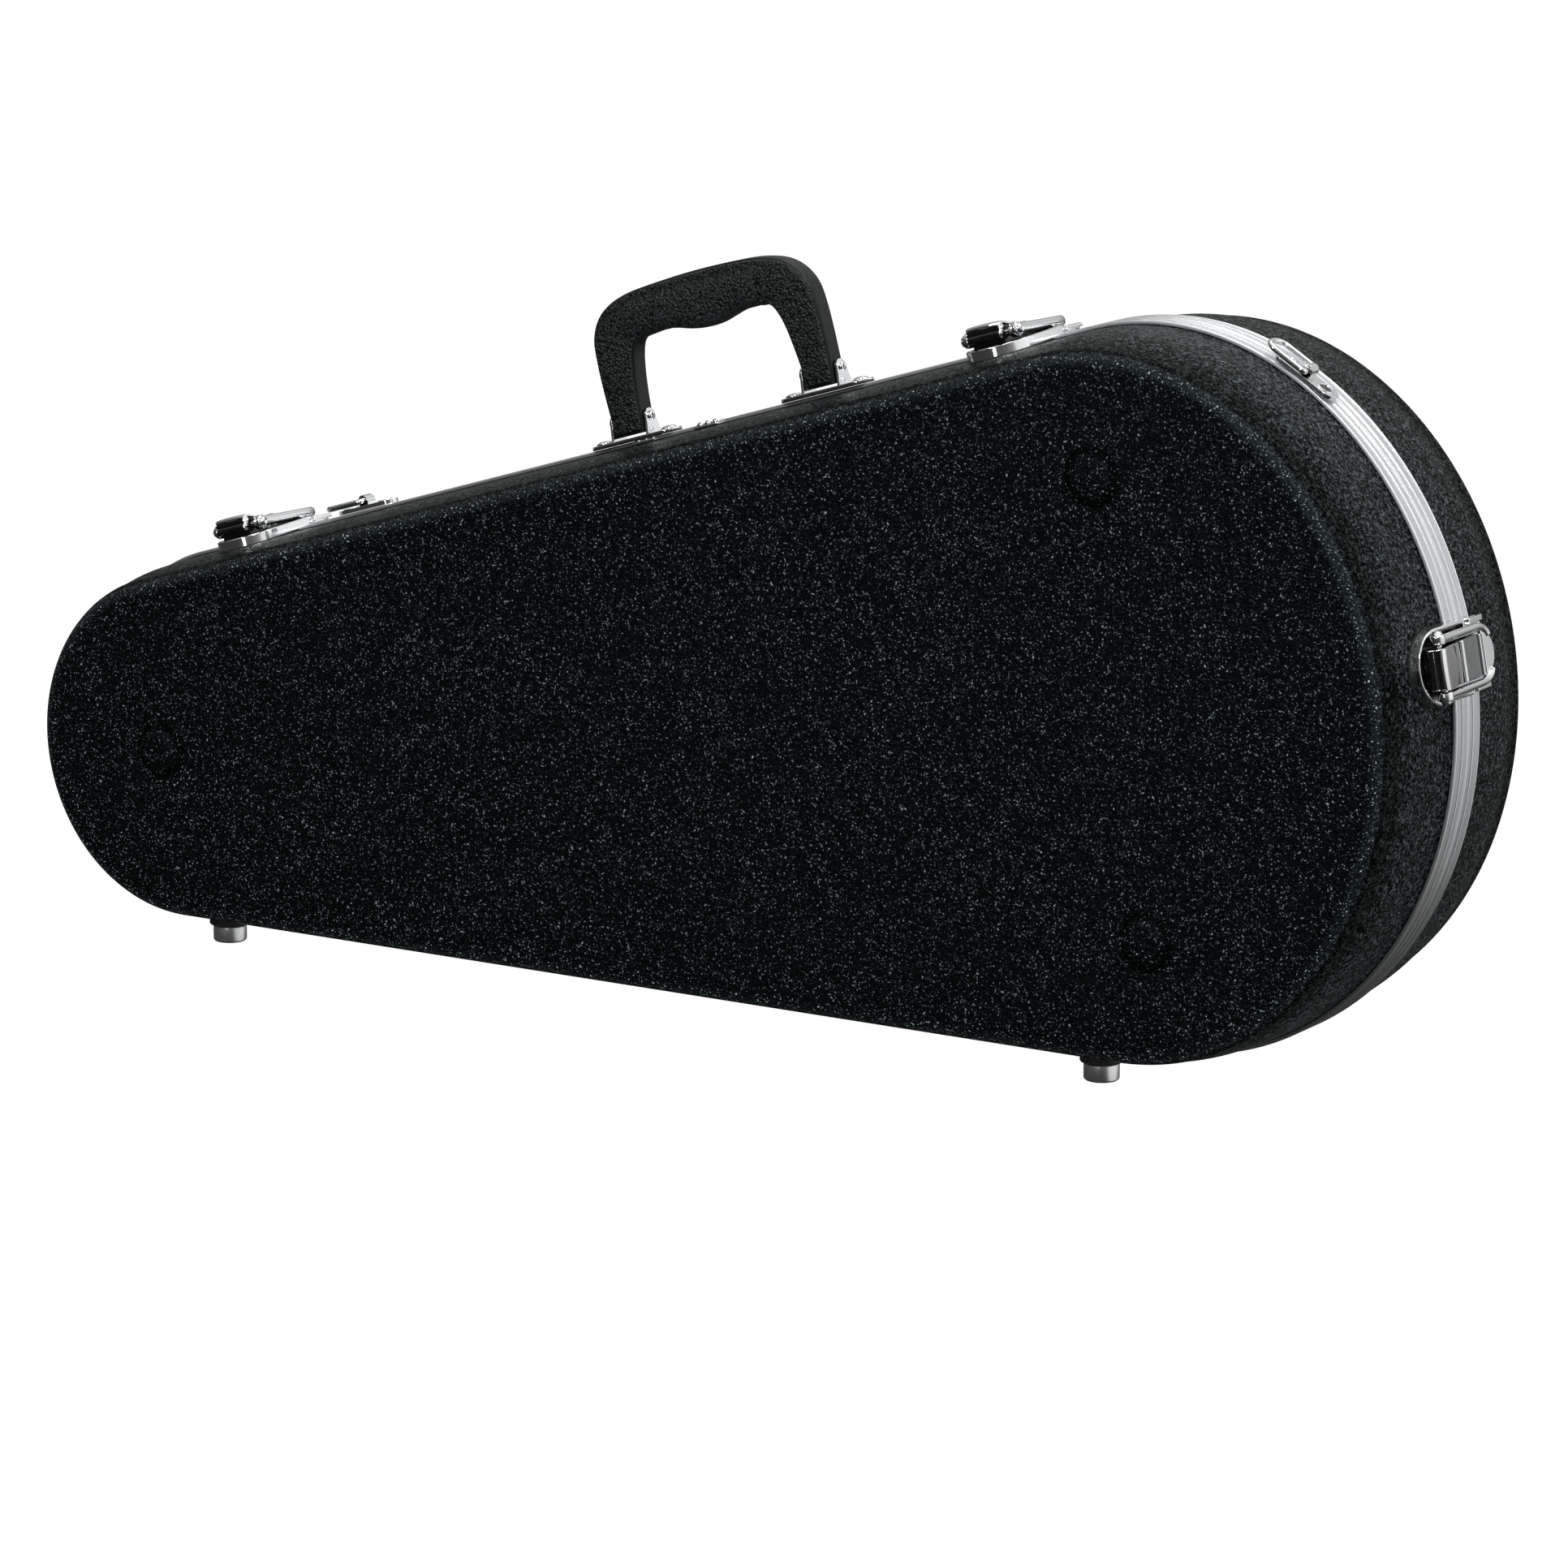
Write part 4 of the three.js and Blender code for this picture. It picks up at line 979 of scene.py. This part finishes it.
for index, along in CLIPS.items():
    clip = Build(f"valance_clip_{index}_plate", edge_frame(BIG, EDGE_NORMAL, along))
    clip.box(-7.2, 7.2, -1.9, -0.6, 12.7, 16.6)
    clip.box(-7.2, 7.2, -0.4, 0.35, 9.6, 13.6)
    for x in (-4.6, 0, 4.6):
        clip.turned(CLIP_PIN, (x, -0.3, 0), "z", 18)
    finish_piece(clip.object(0.3, 2), [CHROME], "base", f"valance_clip_{index}")

# ---------------- strap fittings
STRAPS = {"left": (BIG, EDGE_NORMAL, -447.0), "right": (BIG, math.radians(50), 0.0)}
STRAP_Z = 6.4
EYE_Y = 4.6  # the ring's axis
RIVET_LIP = [(4.3, 2.2), (4.0, 2.75), (3.3, 2.8), (3.0, 2.4)]
RIVET_DISH = [(3.1, 2.45), (2.4, 2.35), (1.4, 2.4), (1.2, 2.6), (0, 2.7)]
# The wire's four corners: x, z, radius and the quarter turn at which each starts.
RING_CORNERS = ((-2, 2.1, 2, 3), (-17.5, 5.6, 5.5, 2), (-17.5, 7.2, 5.5, 1), (-2, 10.7, 2, 0))


def add_strap_plate(name, place):
    """A plate with two countersunk rivets, each a raised lip round a dark dished head, and the ring's eye."""
    plate = Build(f"strap_plate_{name}_riveted", place)
    plate.slab(swapped(oblong(18.4, 5.6, 0, STRAP_Z)), "y", 0.2, 2.3)
    for x in (-11.2, 11.2):
        plate.turned(RIVET_LIP, (x, 0, STRAP_Z), "y", 28)
        plate.turned(RIVET_DISH, (x, 0, STRAP_Z), "y", 28, slot=1)
    plate.tube([(0, EYE_Y, 3), (0, EYE_Y, 9.8)], 3.1, 24)
    plate.slab([(-3.1, 1.2), (3.1, 1.2), (2.9, EYE_Y), (-2.9, EYE_Y)], "z", 3, 9.8)
    obj = plate.object(0.35, 3, smooth=40)
    finish_piece(obj, [CHROME, DARK], "base", "strap_plate_" + name)


def add_strap_ring(name, place):
    wire = Build(f"strap_ring_{name}_wire", place)
    path = []
    for x, z, radius, quarter in RING_CORNERS:
        arc = circle(x, z, radius, 8, quarter * math.pi / 2, math.pi / 2)
        path += [(a, EYE_Y, b) for a, b in arc[::-1]]
    wire.tube(path, 1.5, 18, closed=True)
    body = "strap_ring_" + name
    finish_piece(wire.object(smooth=60), [CHROME], body, body)


for name, where in STRAPS.items():
    add_strap_plate(name, edge_frame(*where))
    add_strap_ring(name, edge_frame(*where))


# ---------------- hinges and bow clips, as the CAD has them
CAD_BEVEL_ANGLE = 40


def dress(obj, material, bevel, steps):
    obj.data.materials.clear()
    obj.data.materials.append(material)
    obj.data.shade_smooth()
    round_edges(obj, bevel, steps, CAD_BEVEL_ANGLE)


for node_name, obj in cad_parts.items():
    if node_name.startswith("hinge"):
        dress(obj, CHROME, 0.25, 2)
    if node_name.startswith("bow_clip"):
        dress(obj, BLACK, 0.8, 3)


# ---------------- upholstery
def upholstered(node_name, body, voxel, rounds):
    """The CAD pad with its edges softened, as cloth over foam has them."""
    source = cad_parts[node_name]
    obj = bpy.data.objects.new(node_name + "_upholstery", source.data.copy())
    bpy.context.scene.collection.objects.link(obj)
    obj.data.materials.clear()
    remesh = obj.modifiers.new("remesh", "REMESH")
    remesh.mode = "VOXEL"
    remesh.voxel_size = voxel * MM
    remesh.use_smooth_shade = True
    soften = obj.modifiers.new("soften", "SMOOTH")
    soften.factor = 0.5
    soften.iterations = rounds
    finish_piece(obj, [PLUSH], body, node_name)


upholstered("base_liner", "base", 2.2, 5)
upholstered("lid_liner", "lid", 2.2, 5)
upholstered("neck_cradle", "base", 1.0, 5)
for level in ("upper", "lower"):
    upholstered("compartment_lid_" + level, "compartment_lid_" + level, 0.7, 3)

# ---------------- ribbons of the interior
NECK_STRAP_HALF = 28.7  # half its span; the cradle below is 1 mm wider on each side
NECK_STRAP_TOP = 18.9  # depth of its upper face, 1.1 mm off the cradle's top
# The ribbon and its two stitch lines: x from and to, lift and slot.
NECK_STRAP = ((-258, -240, 0.0, 0), (-257.4, -256.9, -0.15, 1), (-241.1, -240.6, -0.15, 1))
SNAP = [(4.6, NECK_STRAP_TOP), (4.5, 18.1), (3.4, 17.6), (3.0, 17.9), (0, 17.9)]
LOOP_FOOT = -59.5  # 0.5 mm off the floor of the lid's liner
LOOP_X = (-508, -492)
BOW_Y = 30


def add_neck_strap():
    """A ribbon over the neck with two stitched edges and a snap at each end."""
    strap = Build("neck_strap_ribbon", DECK)
    arc = []
    for k in range(33):
        y = NECK_STRAP_HALF * (k / 16 - 1)
        arc.append((y, NECK_STRAP_TOP + 3.2 * max(1 - (y / 15) ** 2, 0)))
    for x0, x1, lift, slot in NECK_STRAP:
        top = [(y, z + lift) for y, z in arc]
        bottom = [(y, z + 0.9) for y, z in arc[::-1]]
        strap.slab(top + bottom, "x", x0, x1, slot)
    for s in SIDES:
        strap.turned(SNAP, (-249, s * 22.5, 0), "z", 32, slot=2)
    finish_piece(strap.object(0.2, 2), [RIBBON, THREAD, CHROME], "base")


def arch(y, half_wide, height):
    return [(y + half_wide * math.cos(t), LOOP_FOOT + height * math.sin(t)) for t in half_turn(20)]


def add_bow_loop(name, side):
    """A ribbon loop for a bow's tip, stitched to the lid's liner at both feet."""
    loop = Build(f"bow_loop_{name}_ribbon", DECK)
    middle = side * BOW_Y
    loop.slab(arch(middle, 10.5, 12) + arch(middle, 9.7, 11.2)[::-1], "x", *LOOP_X)
    for s in SIDES:
        y = middle + s * 14.5
        loop.box(*LOOP_X, y - 4.6, y + 4.6, -59.9, -59.2)
        for x in (-505, -495):
            loop.box(x - 0.3, x + 0.3, y - 3.8, y + 3.8, -59.2, -58.95, slot=1)
    finish_piece(loop.object(0.2, 2, smooth=40), [RIBBON, THREAD], "lid")


def add_pull_tab(name, side):
    tab = Build(f"pull_tab_{name}_ribbon", DECK)
    y0, y1 = sorted((side * 80, side * 96))
    tab.box(-359, -349, y0, y1, 0.2, 0.75)
    for y in (side * 82, side * 86):
        tab.box(-358, -350, y - 0.3, y + 0.3, 0.05, 0.3, slot=1)
    finish_piece(tab.object(0.15, 2), [RIBBON, THREAD], "compartment_lid_" + name)


add_neck_strap()
for name, side in (("upper", 1), ("lower", -1)):
    add_bow_loop(name, side)
    add_pull_tab(name, side)

# ---------------- floor
FLOOR_HALF = 30  # metres
FLOOR_Z = -0.0004


def pale_floor():
    """A floor that glows, so that it shows white under the case."""
    m, nt, b = new_material("pale_floor")
    co = node(nt, "ShaderNodeTexCoord")
    mottle = noise(nt, (co, "Object"), 2.0, 2.0)
    link(nt, (ramp(nt, (mottle, "Fac"), [(0.3, 0.05), (0.7, 0.07)]), 0), b, "Base Color")
    b.inputs["Roughness"].default_value = 0.85
    b.inputs["Specular IOR Level"].default_value = 0.0
    b.inputs["Emission Color"].default_value = (1, 1, 1, 1)
    b.inputs["Emission Strength"].default_value = 1.0
    return m


def add_floor():
    sheet = Build("studio_floor", Matrix.Identity(4))
    corners = ((-1, -1), (1, -1), (1, 1), (-1, 1))
    sheet.put([(x * FLOOR_HALF, y * FLOOR_HALF, FLOOR_Z) for x, y in corners], [(0, 1, 2, 3)])
    floor = sheet.object()
    floor.data.materials.append(pale_floor())
    floor.visible_glossy = False


add_floor()

# ---------------- light
SKY_AXIS = (0.2, 0.3, 0.93)
CARD_AXIS = (0.94, 0.34, 0.0)


def light_studio():
    """Bright above, a white card to the right of the case, dark before it, and white to the camera."""
    world = bpy.data.worlds.new("studio")
    bpy.context.scene.world = world
    world.use_nodes = True
    nt = world.node_tree
    co = node(nt, "ShaderNodeTexCoord")
    upward = calc_vector(nt, "DOT_PRODUCT", (co, "Generated"), SKY_AXIS)
    share = map_range(nt, (upward, "Value"), -1.0, 1.0)
    sky = ramp(nt, (share, 0), [(0.0, 0.03), (0.3, 0.045), (0.55, 0.12), (0.75, 0.4), (1.0, 0.9)])
    rightward = calc_vector(nt, "DOT_PRODUCT", (co, "Generated"), CARD_AXIS)
    card = ramp(nt, (rightward, "Value"), [(0.6, 0.0), (0.7, 0.08), (0.79, 0.5), (1.0, 0.6)])
    both = mix_colours(nt, 1.0, (sky, 0), (card, 0), "ADD")
    light_path = node(nt, "ShaderNodeLightPath")
    seen = mix_colours(nt, (light_path, "Is Camera Ray"), (both, MIX_OUT), (1, 1, 1, 1))
    background = nt.nodes["Background"]
    link(nt, (seen, MIX_OUT), background, "Color")
    background.inputs["Strength"].default_value = 1.0


def softbox(name, at, size, power):
    """A rectangular lamp aimed at the case."""
    data = bpy.data.lights.new(name, "AREA")
    data.shape = "RECTANGLE"
    data.size, data.size_y = size
    data.energy = power
    obj = bpy.data.objects.new(name, data)
    bpy.context.scene.collection.objects.link(obj)
    obj.location = at
    obj.rotation_euler = (CENTRE - Vector(at)).to_track_quat("-Z", "Y").to_euler()


bpy.context.scene.view_settings.view_transform = "Standard"
light_studio()
softbox("overhead", (CENTRE.x + 0.3, 0.5, 2.2), (2.2, 1.0), 12)
softbox("key_above_front", (CENTRE.x + 1.1, -1.5, 1.9), (0.7, 0.5), 26)
softbox("key_left_front", (CENTRE.x - 0.7, -1.9, 1.8), (0.5, 0.5), 12)
softbox("front_edge", (CENTRE.x + 0.4, -2.8, 0.75), (0.35, 0.9), 5)

# ---------------- camera
AZIMUTH, ELEVATION = math.radians(32.43), math.radians(12.28)
TARGET = Vector((CENTRE.x + 0.0228, 0, 0.1091))
DISTANCE = 3.055
LENS = 140.4


def add_camera():
    sight = Vector((
        -math.sin(AZIMUTH) * math.cos(ELEVATION),
        math.cos(AZIMUTH) * math.cos(ELEVATION),
        -math.sin(ELEVATION),
    ))
    data = bpy.data.cameras.new("camera")
    data.sensor_width = 36
    data.lens = LENS
    data.clip_end = 100
    camera = bpy.data.objects.new("camera", data)
    bpy.context.scene.collection.objects.link(camera)
    camera.location = TARGET - sight * DISTANCE
    camera.rotation_euler = sight.to_track_quat("-Z", "Y").to_euler()
    bpy.context.scene.camera = camera


add_camera()
